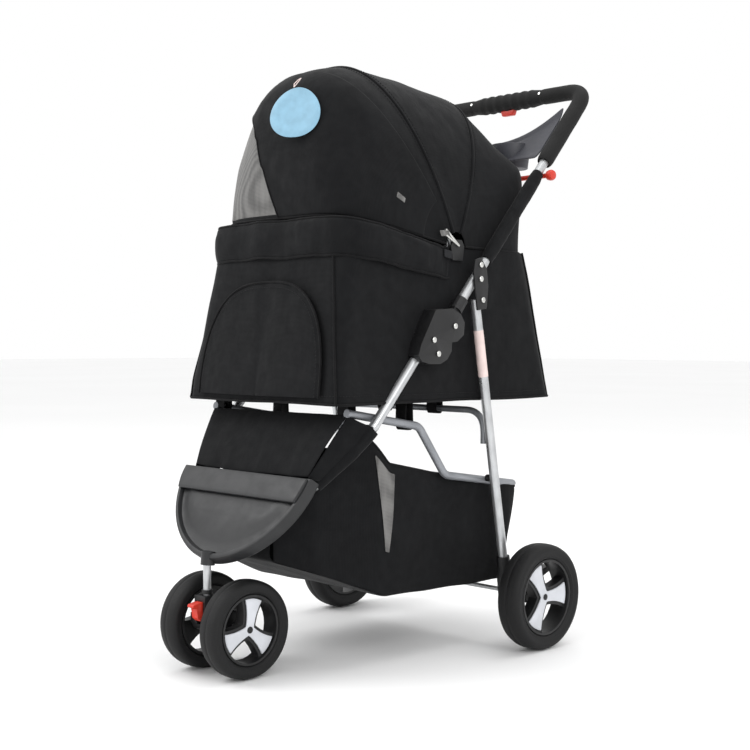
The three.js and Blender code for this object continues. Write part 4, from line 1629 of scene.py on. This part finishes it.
@dataclass
class Hood:
    """The tilting hood: cloth over two bows, a netting window with its roll-down cover, and a hang tag."""

    front: float = 112.3  # the bows' planes, in degrees above the rear
    back: float = 67.9
    window: Point = (128.0, 168.6)  # the opening, between two planes
    window_sides: Point = (0.27, 0.735)  # and between two shares of a hoop's length
    edge: float = 171.0  # the plane of the hood's front edge
    columns: int = 96

    # the outline from the side, round the pivot, from the rear wall over the top to the front edge
    outline = (
        (0.1855, -0.006), (0.1850, 0.0), (0.1980, 0.126), (0.1990, 0.142), (0.176, 0.180), (0.142, 0.229),
        (0.105, 0.271), (-0.010, 0.288), (-0.115, 0.293), (-0.172, 0.282), (-0.208, 0.254), (-0.225, 0.208),
        (-0.239, 0.136), (-0.242, 0.086), (-0.2395, 0.0385), (-0.2390, 0.0350),
    )
    # the hoops' exponents and half widths, by angle
    squareness = (
        (-5, 0.20), (30, 0.19), (39, 0.24), (50, 0.52), (68, 0.86),
        (112, 0.90), (130, 0.72), (150, 0.52), (171, 0.39),
    )
    widths = ((-5, 0.1665), (40, 0.1680), (68, 0.1700), (112, 0.1690), (140, 0.1655), (171, 0.1630))

    @property
    def pivot(self) -> Vector:
        """The hood's pivot, in the middle."""
        return Vector((0, *JOINTS["hood_back_tilt"]["pos_m"][1:]))

    @staticmethod
    def arm(degrees: float, reach: float) -> Vector:
        """A step from the pivot, in the middle plane."""
        return Vector((0, reach * math.cos(math.radians(degrees)), reach * math.sin(math.radians(degrees))))

    def radius(self, degrees: float) -> float:
        """How far the outline is from the pivot, with its corners eased."""
        return sum(self.ray(degrees + step) for step in (-3, -1.5, 0, 1.5, 3)) / 5

    def ray(self, degrees: float) -> float:
        """Where a ray from the pivot meets the outline.

        Args:
            degrees: the ray's angle above the rear.

        Returns:
            The distance.
        """
        turn = math.radians(min(171.3, max(-1.5, degrees)))
        dy, dz = math.cos(turn), math.sin(turn)
        for (ay, az), (by, bz) in zip(self.outline, self.outline[1:]):
            one, two = dy * az - dz * ay, dy * bz - dz * by
            if one <= 0 <= two or two <= 0 <= one:
                if abs(one - two) < 1e-12:
                    continue
                share = one / (one - two)
                reach = mix(ay, by, share) * dy + mix(az, bz, share) * dz
                if reach > 0:
                    return reach
        return 0.24

    def hoop(self, degrees: float, out: float = 0.0, foot: float = 0.022) -> list[Vector]:
        """The cloth's line in a plane through the pivot.

        Args:
            degrees: the plane's angle above the rear.
            out: how far outside the cloth.
            foot: how far from the pivot the line starts and ends.

        Returns:
            Points from the left foot over the top to the right foot.
        """
        turn, power = math.radians(degrees), along(self.squareness, degrees)
        reach, wide = self.radius(degrees) + out, along(self.widths, degrees) + out
        knee, half = math.sin(math.pi / 4) ** power, []
        for i in range(41):
            share = mix(foot / reach, knee, i / 40)
            half.append(math.asin(share ** (1 / power)))
        half += [math.acos((knee * (1 - i / 40)) ** (1 / power)) for i in range(1, 41)]
        points = []
        for angle in half:
            x, r = wide * math.cos(angle) ** power, reach * math.sin(angle) ** power
            points.append(self.pivot + Vector((x, r * math.cos(turn), r * math.sin(turn))))
        points[-1].x = 0.0
        return both_sides(points)

    def cloth(self, name: str, low: float, high: float, rows: int) -> bpy.types.Object:
        """A panel of the hood, slack and lightly creased.

        Args:
            name: the piece's name.
            low: the angle of the plane where it starts.
            high: the angle of the plane where it ends.
            rows: faces between them.

        Returns:
            The open sheet.
        """
        hoops = [resample(self.hoop(mix(low, high, k / rows)), self.columns) for k in range(rows + 1)]

        def place(u: float, v: float) -> Vector:
            """The panel's point, sagging between the planes.

            Args:
                u: the share across.
                v: the share up.

            Returns:
                The point.
            """
            i, k = round(u * self.columns), round(v * rows)
            p = hoops[k][i]
            away = p - self.pivot
            away = Vector((away.x * 0.6, away.y, away.z)).normalized()
            free = math.sin(math.pi * v) ** 0.6 * smooth(0.0, 0.12, min(u, 1 - u))
            sag = -0.0035 * math.sin(math.pi * v) * math.sin(math.pi * u) ** 0.5
            folds = 0.0026 * uneven(u * 7, v * 2.2 + low, 0.5) + 0.0012 * noise.noise(p * 34)
            return p + away * (sag + folds * free)

        return Bench.sheet(name, self.columns, rows, place)

    def build(self) -> None:
        """Makes the hood's pieces."""
        self.front_panel()
        self.window_panel()
        self.cover_flap()
        middle = Bench.thicken(self.cloth("hood_middle_cloth", self.back, self.front, 26), THIN_CLOTH)
        cover(middle, CLOTH, Slot.CLOTH, "hood_middle_panel")
        self.fan(middle, Body.HOOD_BACK, Body.HOOD_FRONT, self.back, self.front)
        rear = Bench.thicken(self.cloth("hood_rear_cloth", -1.2, self.back, 40), THIN_CLOTH)
        cover(rear, CLOTH, Slot.CLOTH, "hood_rear_panel")
        self.fan(rear, Body.FRONT, Body.HOOD_BACK, 34.0, self.back)
        self.bows()
        self.seams()
        self.tag()

    def fan(self, piece: bpy.types.Object, a: Body, b: Body, low: float, high: float) -> None:
        """Blends a panel across a bow's joint, with each point's share set by its angle about the pivot.

        Args:
            piece: the panel.
            a: the body that it follows at the low angle.
            b: the body that it follows at the high angle.
            low: the angle where the blend starts, in degrees.
            high: the angle where it ends.
        """
        ends = [self.pivot + self.arm(degrees, 0.28) for degrees in (low, high)]
        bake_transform(piece, a.value, b.value, start=ends[0], end=ends[1])
        shares = piece.data.attributes["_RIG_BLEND"].data
        for corner, share in zip(piece.data.vertices, shares):
            arm = corner.co - self.pivot
            angle = math.degrees(math.atan2(arm.z, arm.y))
            share.value = smooth(low, high, angle if angle > -90 else 180)

    def front_panel(self) -> None:
        """The front panel, cut away where the window is."""
        rows = 36
        panel = self.cloth("hood_front_cloth", self.front, self.edge, rows)
        low, high = ((d - self.front) / (self.edge - self.front) for d in self.window)
        marks = panel.data.uv_layers.active.data
        for face in panel.data.polygons:
            u = sum(marks[i].uv.x for i in face.loop_indices) / face.loop_total
            v = sum(marks[i].uv.y for i in face.loop_indices) / face.loop_total
            face.select = self.window_sides[0] < u < self.window_sides[1] and low < v < high
        for group in (panel.data.vertices, panel.data.edges):
            for item in group:
                item.select = False
        Bench.only(panel)
        bpy.ops.object.mode_set(mode="EDIT")
        bpy.ops.mesh.select_mode(type="FACE")
        bpy.ops.mesh.delete(type="FACE")
        bpy.ops.object.mode_set(mode="OBJECT")
        Bench.thicken(panel, THIN_CLOTH)
        dress(panel, CLOTH, Body.HOOD_FRONT, Slot.CLOTH, "hood_front_panel")

    def patch(self, degrees: float, start: float, stop: float, count: int, out: float) -> list[Vector]:
        """A stretch of a hoop, evenly spaced, between two shares of its length."""
        line = resample(self.hoop(degrees, out), 200)
        return resample(line[round(start * 200): round(stop * 200) + 1], count)

    def window_panel(self) -> None:
        """The netting window, with a long loose fold down its far side."""
        low, high = self.window[0] - 1.2, self.window[1] + 1.0
        rows = [self.patch(mix(low, high, k / 30), 0.255, 0.75, 60, -0.0012) for k in range(31)]

        def place(u: float, v: float) -> Vector:
            """The netting's point, with its fold and small waves.

            Args:
                u: the share across.
                v: the share up.

            Returns:
                The point.
            """
            p = rows[round(v * 30)][round(u * 60)]
            fold = 0.004 * math.exp(-(((u - 0.80 - 0.05 * v) / 0.035) ** 2)) * v
            waves = 0.0015 * uneven(u * 9, v * 2, 3) * math.sin(math.pi * v)
            return p + Vector((0, -1, 0)) * (fold + waves)

        net = Bench.thicken(Bench.sheet("hood_window_netting", 60, 30, place), NET_CLOTH)
        dress(net, NETTING, Body.HOOD_FRONT, Slot.CLOTH)

    def flap_edge(self, degrees: float) -> float:
        """The x of the cover's slanting free edge, at a height given by its plane."""
        return along(((124.0, -0.150), (131.0, -0.105), (142.0, -0.060), (156.0, -0.022), (171.0, 0.012)), degrees)

    def cover_flap(self) -> None:
        """The roll-down cover over the near part of the window."""
        rows, columns, lines = 34, 56, []
        for k in range(rows + 1):
            degrees = mix(124.0, 170.6, k / rows)
            hoop = resample(self.hoop(degrees, 0.0028), 240)
            edge = self.flap_edge(degrees)
            lines.append(resample([p for p in hoop if p.x > edge][18:], columns))

        def place(u: float, v: float) -> Vector:
            """The cover's point, standing a little off the netting.

            Args:
                u: the share across.
                v: the share up.

            Returns:
                The point.
            """
            p = lines[round(v * rows)][round(u * columns)]
            slack = 0.0030 * uneven(u * 4.5, v * 3.5, 9)
            slack += 0.0012 * uneven(u * 16, v * 12, 1)
            return p + Vector((0.1, -1, 0.3)) * (abs(slack) * math.sin(math.pi * min(1, v * 1.02)) ** 0.5)

        flap = Bench.thicken(Bench.sheet("window_cover", columns, rows, place), THIN_CLOTH)
        dress(flap, CLOTH, Body.HOOD_FRONT, Slot.CLOTH)
        edge = [lines[k][-1] + Vector((-0.0004, -0.0012, 0)) for k in range(rows + 1)]
        dress(Bench.tube("cover_edge_piping", edge, 0.0014, 3), PIPING, Body.HOOD_FRONT, Slot.CLOTH)

    def bows(self) -> None:
        """The two steel bows, their cloth channels and the hinge plates."""
        shapes = (
            ("front_bow", self.front, 0.297, 0.157, Body.HOOD_FRONT, "hood_front_bow"),
            ("rear_bow", self.back, 0.272, 0.145, Body.HOOD_BACK, "hood_rear_bow"),
        )
        for name, degrees, reach, half, body, node in shapes:
            line = []
            for i in range(65):
                t = math.pi * i / 64
                x = half * powered(math.cos(t), 0.85)
                r = reach * max(0.0, math.sin(t)) ** 0.85
                line.append(self.pivot + Vector((x, 0, 0)) + self.arm(degrees, r))
            dress(Bench.tube(name, resample(line, 80), ROD_RADIUS, 4), STEEL, body, Slot.STEEL, node)
        for side, _ in SIDES:
            hinge = f"hood_hinge_{side}"
            moulded(hinge, f"hinge_plate_{side}", 0.0012, PLASTIC, Body.FRONT, Slot.PLASTIC)

    def seams(self) -> None:
        """Cloth channels over the bows, the bound lower edge, the window's binding and the zip."""
        channels = (("front_channel", self.front, Body.HOOD_FRONT), ("rear_channel", self.back, Body.HOOD_BACK))
        for name, degrees, body in channels:
            line = resample(self.hoop(degrees, 0.0006), 90)
            dress(Bench.tube(name, line, 0.0030, 4), CLOTH, body, Slot.CLOTH)
            rows = []
            for step in (-2.2, 2.2):
                rows.append(Bench.stitches("row", resample(self.hoop(degrees + step, 0.0012), 90)[6:-6]))
            dress(Bench.joined(f"{name}_stitches", rows), THREAD, body, Slot.CLOTH)
        self.hinge_trim()
        edge = resample(self.hoop(self.edge, 0.0008), 120)
        dress(Bench.tube("hood_front_binding", edge, 0.0020, 3), PIPING, Body.HOOD_FRONT, Slot.CLOTH)
        base = resample(self.hoop(-1.0, 0.0012), 90)
        dress(Bench.tube("hood_rear_binding", base, 0.0020, 3), PIPING, Body.FRONT, Slot.CLOTH)
        zip_line = self.patch(125.5, 0.27, 0.75, 60, 0.0016)
        row = [p + Vector((0, -0.0014, -0.0035)) for p in zip_line]
        teeth = [Bench.tube("teeth", zip_line, 0.0016, 2), Bench.stitches("row", row, 0.003)]
        dress(Bench.joined("window_zip", teeth), WEBBING, Body.HOOD_FRONT, Slot.CLOTH)
        self.side_tab()

    def side_tab(self) -> None:
        """The small grey tab sewn to the hood's left side."""

        def place(u: float, v: float) -> Vector:
            """The tab's face, just off the cloth."""
            line = self.patch(mix(149.5, 152.8, u), 0.1, 0.4, 60, 0.0042)
            return line[round(mix(10, 15, v))]

        tab = Bench.thicken(Bench.sheet("side_tab", 6, 8, place), 0.0009)
        dress(tab, NETTING, Body.HOOD_FRONT, Slot.CLOTH)

    def hinge_trim(self) -> None:
        """The bows' flattened steel ends outside the cloth, with the grey webbing that ties them down."""
        for side, sign in SIDES:
            ends = []
            for degrees, reach in ((141.0, 0.040), (152.0, 0.034)):
                tip = self.pivot + Vector((sign * 0.1735, 0, 0)) + self.arm(degrees, reach)
                ends.append(Bench.tube("end", [self.pivot + Vector((sign * 0.1745, 0, 0)), tip], 0.0021, 3))
            dress(Bench.joined(f"bow_ends_{side}", ends), RIVET_STEEL, Body.HOOD_FRONT, Slot.STEEL)

            def web(u: float, v: float) -> Vector:
                """The tape's face, beside the bows' ends."""
                x = 0.1745 + 0.0006 * math.sin(9 * u)
                return at(sign * x, mix(0.078, 0.099, u) - 0.004 * v, mix(0.677, 0.686, v) + 0.002 * u)

            def square(u: float, v: float) -> Vector:
                """The patch's face, under the hinge."""
                return at(sign * 0.1718, mix(0.088, 0.106, u), mix(0.645, 0.658, v) - 0.003 * u)

            tape = Bench.thicken(Bench.sheet(f"bow_tape_{side}", 8, 6, web), THIN_CLOTH)
            dress(tape, NETTING, Body.HOOD_FRONT, Slot.CLOTH)
            patch = Bench.thicken(Bench.sheet(f"hinge_patch_{side}", 6, 6, square), 0.0014)
            dress(patch, LINING, Body.FRONT, Slot.CLOTH)

    def tag(self) -> None:
        """The blank hang tag on its string: an egg-shaped card, softly bowed."""
        low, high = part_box("hang_tag")
        centre, radius = (low + high) / 2 + Vector((0.038, -0.011, -0.010)), (high.x - low.x) / 2 * 1.10
        bpy.ops.object.select_all(action="DESELECT")
        bpy.ops.mesh.primitive_circle_add(vertices=64, radius=radius, fill_type="TRIFAN")
        card = Bench.name("blue_hang_tag")
        Bench.edit(card, lambda: bpy.ops.mesh.subdivide(number_cuts=3))
        tilt = Matrix.Rotation(0.45, 3, "Z") @ Matrix.Rotation(math.pi / 2 - 0.25, 3, "X")
        for corner in card.data.vertices:
            x, y = corner.co.x, corner.co.y
            x *= 1.0 - 0.10 * (y / radius)
            y = y * 0.99 - 0.04 * abs(x)
            bow = 0.0016 * ((x / radius) ** 2 - 0.4)
            corner.co = tilt @ Vector((x, y, bow)) + centre
        Bench.modify(card, "SOLIDIFY", thickness=0.0012, offset=0.0)
        Bench.chamfer(card, 0.0003, 2, 50)
        dress(Bench.soften(card, 40), TAG_CARD, Body.TAG, Slot.TAG, "hang_tag")
        top = centre + Vector((-0.004, 0.0, radius * 0.93))
        steps = ((0, 0, 0), (6, 4, 8), (3, 12, 15), (-6, 14, 14), (-4, 4, 6), (0, 0, 0))
        loop = [top + Vector(step) * 0.001 for step in steps]
        dress(Bench.tube("tag_string", rounded(loop, 0.002, 4), 0.0007, 2), LABEL, Body.TAG, Slot.TAG)


# ---- basket ----


@dataclass
class Basket:
    """The sling basket under the cabin, with its side panels, netting gussets, front flap and strap loops."""

    under = ((-0.186, 0.176), (-0.022, 0.112), (0.262, 0.104), (0.279, 0.262))
    upper = ((-0.184, 0.231), (-0.086, 0.343), (-0.050, 0.357), (-0.012, 0.318), (0.120, 0.290), (0.279, 0.262))
    front = ((-0.184, 0.231), (-0.0855, 0.3435))
    plan = ((-0.190, 0.060), (-0.140, 0.118), (-0.040, 0.147), (0.3, 0.149))

    def half(self, y: float) -> float:
        """Half the sling's width at a place along the basket."""
        return along(self.plan, y)

    def build(self) -> None:
        """Makes the basket's pieces."""
        self.sling()
        self.sides()
        self.flap()
        self.straps()

    def line(self) -> list[Vector]:
        """The sling's line seen from the side, from the rear top under and up to the front."""
        path = [Vector((0, y, z)) for y, z in (*reversed(self.under), *self.front)]
        return resample(rounded(path, 0.010, 5), 96)

    def sling(self) -> None:
        """The strip that makes the basket's back, floor, belly and front."""
        line = self.line()

        def place(u: float, v: float) -> Vector:
            """The sling's point, with the floor's sag and a few creases.

            Args:
                u: the share across.
                v: the share up.

            Returns:
                The point.
            """
            p = line[round(v * 96)]
            x = mix(-1, 1, u) * (self.half(p.y) + 0.015 * smooth(0.262, 0.279, p.y))
            flat = 1 - abs(2 * u - 1) ** 3
            floor = smooth(-0.02, 0.04, p.y) * smooth(0.262, 0.22, p.y) * (1 if p.z < 0.2 else 0)
            sag = -0.006 * flat * floor
            crease = 0.0022 * uneven(x * 14, p.y * 14, p.z * 14)
            return at(x, p.y + crease * 0.5, p.z + sag + crease)

        sling = Bench.thicken(Bench.sheet("basket_sling", 40, 96, place), STOUT_CLOTH)
        dress(sling, CLOTH, Body.FRONT, Slot.CLOTH, "basket")
        self.fold(sling)

    def fold(self, piece: bpy.types.Object) -> None:
        """Gives a basket piece a mesh of its own."""
        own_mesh(piece)

    def sides(self) -> None:
        """The two side panels, each with a netting gusset at its front and a bound upper edge."""
        for side, sign in SIDES:

            def place(u: float, v: float, out: float = 0.0) -> Vector:
                """The side's point, from its lower edge up.

                Args:
                    u: the share across.
                    v: the share up.
                    out: how far outside the cloth.

                Returns:
                    The point.
                """
                y = mix(-0.182, 0.2775, u)
                low, high = along(self.under, min(y, 0.262)), along(self.upper, y)
                if y > 0.262:
                    low = along(((0.262, 0.104), (0.279, 0.262)), y)
                z = mix(low, high, v)
                bulge = 0.005 * math.sin(math.pi * v) * smooth(-0.12, 0.0, y)
                crease = 0.0016 * uneven(sign, y * 18, z * 12)
                crease += 0.0018 * uneven(sign * 3, y * 30, z * 5) * v
                flare = 0.015 * smooth(0.10, 0.27, y) * v
                return at(sign * (self.half(y) + bulge + crease + flare + out), y, z)

            panel = Bench.thicken(Bench.sheet(f"basket_side_cloth_{side}", 72, 20, place), STOUT_CLOTH)
            dress(panel, CLOTH, Body.FRONT, Slot.CLOTH)
            self.fold(panel)
            edge = [place(k / 72, 1.0) for k in range(73)]
            trim = Bench.tube(f"basket_edge_binding_{side}", edge, 0.0022, 3)
            dress(trim, PIPING, Body.FRONT, Slot.CLOTH)
            self.fold(trim)

            def strip(u: float, v: float) -> Vector:
                """The gusset's point, over the side; it widens upwards."""
                across = mix(mix(0.345, 0.300, v), mix(0.362, 0.395, v), u)
                return place(across, mix(0.32, 0.93, v), 0.0022)

            gusset = Bench.thicken(Bench.sheet(f"basket_gusset_{side}", 10, 24, strip), NET_CLOTH)
            dress(gusset, NETTING, Body.FRONT, Slot.CLOTH)
            self.fold(gusset)

    def flap(self) -> None:
        """The front flap from the link's ends down to the tray, wrapped round both legs."""

        def place(u: float, v: float) -> Vector:
            """The flap's point, from its lower edge up.

            Args:
                u: the share across.
                v: the share up.

            Returns:
                The point.
            """
            y, z = mix(-0.172, -0.113, v), mix(0.308, 0.3985, v)
            half = mix(0.138, 0.162, v)
            x = mix(-half, half, u)
            crease = 0.0030 * uneven(x * 10, z * 14, 4)
            crease += 0.0015 * uneven(x * 34, z * 20, 4)
            sag = 0.007 * math.sin(math.pi * u) * (1 - v)
            return at(x, y - 0.004 * math.sin(math.pi * v) + crease, z - sag * 0.5 + crease * 0.5)

        flap = Bench.thicken(Bench.sheet("front_flap", 48, 20, place), STOUT_CLOTH)
        dress(flap, CLOTH, Body.FRONT, Slot.CLOTH, "basket_flap")
        for side, sign in SIDES:
            self.wing(side, sign)
            places = ((0.1745, -0.076), (0.172, -0.084), (0.161, -0.106), (0.127, -0.148))
            line = resample(rounded([SLOPE.leg(x, y) for x, y in places], 0.02, 6), 24)
            sleeve = Bench.tube(f"leg_sleeve_{side}", mirrored(line, sign), 0.0118, 6)
            for corner in sleeve.data.vertices:
                corner.co += Vector((1, 1, 1)) * (0.0010 * noise.noise(corner.co * 60))
            dress(sleeve, CLOTH, Body.FRONT, Slot.CLOTH)

    def wing(self, side: str, sign: float) -> None:
        """The gore between the flap's side and the leg that it wraps, as a slightly slack sheet.

        Args:
            side: left or right.
            sign: 1 on the left, -1 on the right.
        """

        def place(u: float, v: float) -> Vector:
            """The gore's point, from the flap's side out to the leg.

            Args:
                u: the share across.
                v: the share up.

            Returns:
                The point.
            """
            inner = at(mix(0.137, 0.161, v), mix(-0.172, -0.113, v), mix(0.306, 0.3985, v))
            y = mix(-0.146, -0.076, v)
            leg = along(((-0.148, 0.127), (-0.104, 0.160), (-0.072, 0.175), (-0.04, 0.176)), y)
            outer = SLOPE.leg(leg + 0.0095, y) + Vector((0, -0.002, 0.004))
            slack = 0.006 * math.sin(math.pi * u) + 0.0012 * noise.noise(inner * 40)
            p = inner.lerp(outer, u) + Vector((0.3, -1, 0)) * slack
            return Vector((sign * p.x, p.y, p.z))

        wing = Bench.thicken(Bench.sheet(f"flap_wing_{side}", 12, 24, place), STOUT_CLOTH)
        dress(wing, CLOTH, Body.FRONT, Slot.CLOTH)

    def straps(self) -> None:
        """Webbing loops that hang the cabin floor on the link and the crossbar."""
        sides = ((0.150, -0.105, 0.4010), (0.150, 0.020, 0.3785))
        middle = ((0.06, 0.1875, 0.395), (-0.06, 0.1875, 0.395))
        spots = (*sides, *middle, *((-x, y, z) for x, y, z in sides))
        loops = [self.loop(*spot) for spot in spots]
        dress(Bench.joined("cabin_straps", loops), WEBBING, Body.FRONT, Slot.CLOTH)

    @staticmethod
    def loop(x: float, y: float, z: float) -> bpy.types.Object:
        """One webbing loop, from the cabin's floor round a bar.

        Args:
            x: the middle of the loop.
            y: the bar's axis, along the layout.
            z: the bar's axis, above the floor.

        Returns:
            The loop.
        """
        half, top, under, wide = 0.0085, 0.4195, 0.008, 0.011
        corners = ((-1, z), (-0.8, top), (0.8, top), (1, z), (0.6, z - under), (-0.6, z - under))
        ring = [at(x, y + half * share, height) for share, height in corners]
        bends = rounded(ring, 0.003, 4, ring=True)
        path = resample([*bends, bends[0]], 40)
        loop = Bench.sheet("loop", 4, 40, lambda u, v: path[round(v * 40)] + Vector((mix(-wide, wide, u), 0, 0)))
        Bench.close(loop, caps=False)
        Bench.modify(loop, "SOLIDIFY", thickness=0.0014, offset=0.0)
        return Bench.soften(loop, 40)


# ---- studio ----


@dataclass
class Studio:
    """The pale floor, the soft lights and the camera."""

    lens: float = 61.7
    azimuth: float = 0.793
    down: float = 0.026
    roll: float = 0.003

    def build(self) -> None:
        """Sets up floor, world, lights and camera."""
        scene = bpy.context.scene
        bpy.ops.object.select_all(action="DESELECT")
        bpy.ops.mesh.primitive_plane_add(size=60.0)
        floor = Bench.name("studio_floor")
        graph = Graph("studio_floor")
        graph.ramp(graph.noise(0.6), ((0.3, (0.93, 0.93, 0.93)), (0.7, (0.95, 0.95, 0.95))), "Base Color")
        graph.set(Roughness=0.75)
        floor.data.materials.append(graph.material)
        scene.world = bpy.data.worlds.new("studio_world")
        scene.world.use_nodes = True
        ground = scene.world.node_tree.nodes["Background"]
        ground.inputs["Color"].default_value = (1.0, 1.0, 1.0, 1.0)
        ground.inputs["Strength"].default_value = 1.0
        scene.view_settings.view_transform = "Standard"
        self.light("key_light", (-1.9, -2.4, 2.9), 2.0, 62.0)
        self.light("side_light", (2.8, -0.7, 1.9), 1.6, 26.0)
        self.light("top_light", (0.2, 0.8, 3.2), 2.2, 26.0)
        self.camera()

    @staticmethod
    def light(name: str, place: Sequence[float], size: float, power: float) -> None:
        """A square soft light that looks at the stroller's middle.

        Args:
            name: the light's name.
            place: where it hangs.
            size: the length of its side.
            power: in watts.
        """
        data = bpy.data.lights.new(name, "AREA")
        data.size, data.energy = size, power
        lamp = bpy.data.objects.new(name, data)
        bpy.context.scene.collection.objects.link(lamp)
        lamp.location = place
        lamp.rotation_euler = (Vector((0, 0, 0.5)) - Vector(place)).to_track_quat("-Z", "Y").to_euler()

    def camera(self) -> None:
        """The camera, low in front of the left corner."""
        a, p, r = self.azimuth, self.down, self.roll
        view = Vector((-math.sin(a) * math.cos(p), math.cos(a) * math.cos(p), -math.sin(p)))
        right = Vector((math.cos(a), math.sin(a), 0.0))
        up = right.cross(view)
        right, up = math.cos(r) * right + math.sin(r) * up, math.cos(r) * up - math.sin(r) * right
        data = bpy.data.cameras.new("camera")
        data.lens, data.sensor_width = self.lens, 36.0
        camera = bpy.data.objects.new("camera", data)
        bpy.context.scene.collection.objects.link(camera)
        turn = Matrix((right, up, -view)).transposed().to_4x4()
        camera.matrix_world = Matrix.Translation(at(1.562, -1.436, 0.509)) @ turn
        bpy.context.scene.camera = camera


def main() -> None:
    """Builds the stroller round its frame, then the studio."""
    logging.basicConfig(level=logging.INFO, format="%(name)s %(message)s")
    builders = [
        FrontFrame(), Handle(), RearFrame(), Caster(),
        Wheel("front", 0.075, 0.040, 0.050), Wheel("rear", 0.0875, 0.044, 0.240),
        Cabin(), Hood(), Basket(), Studio(),
    ]
    for builder in builders:
        LOG.info("building %s", type(builder).__name__)
        builder.build()


if __name__ == "__main__":
    main()
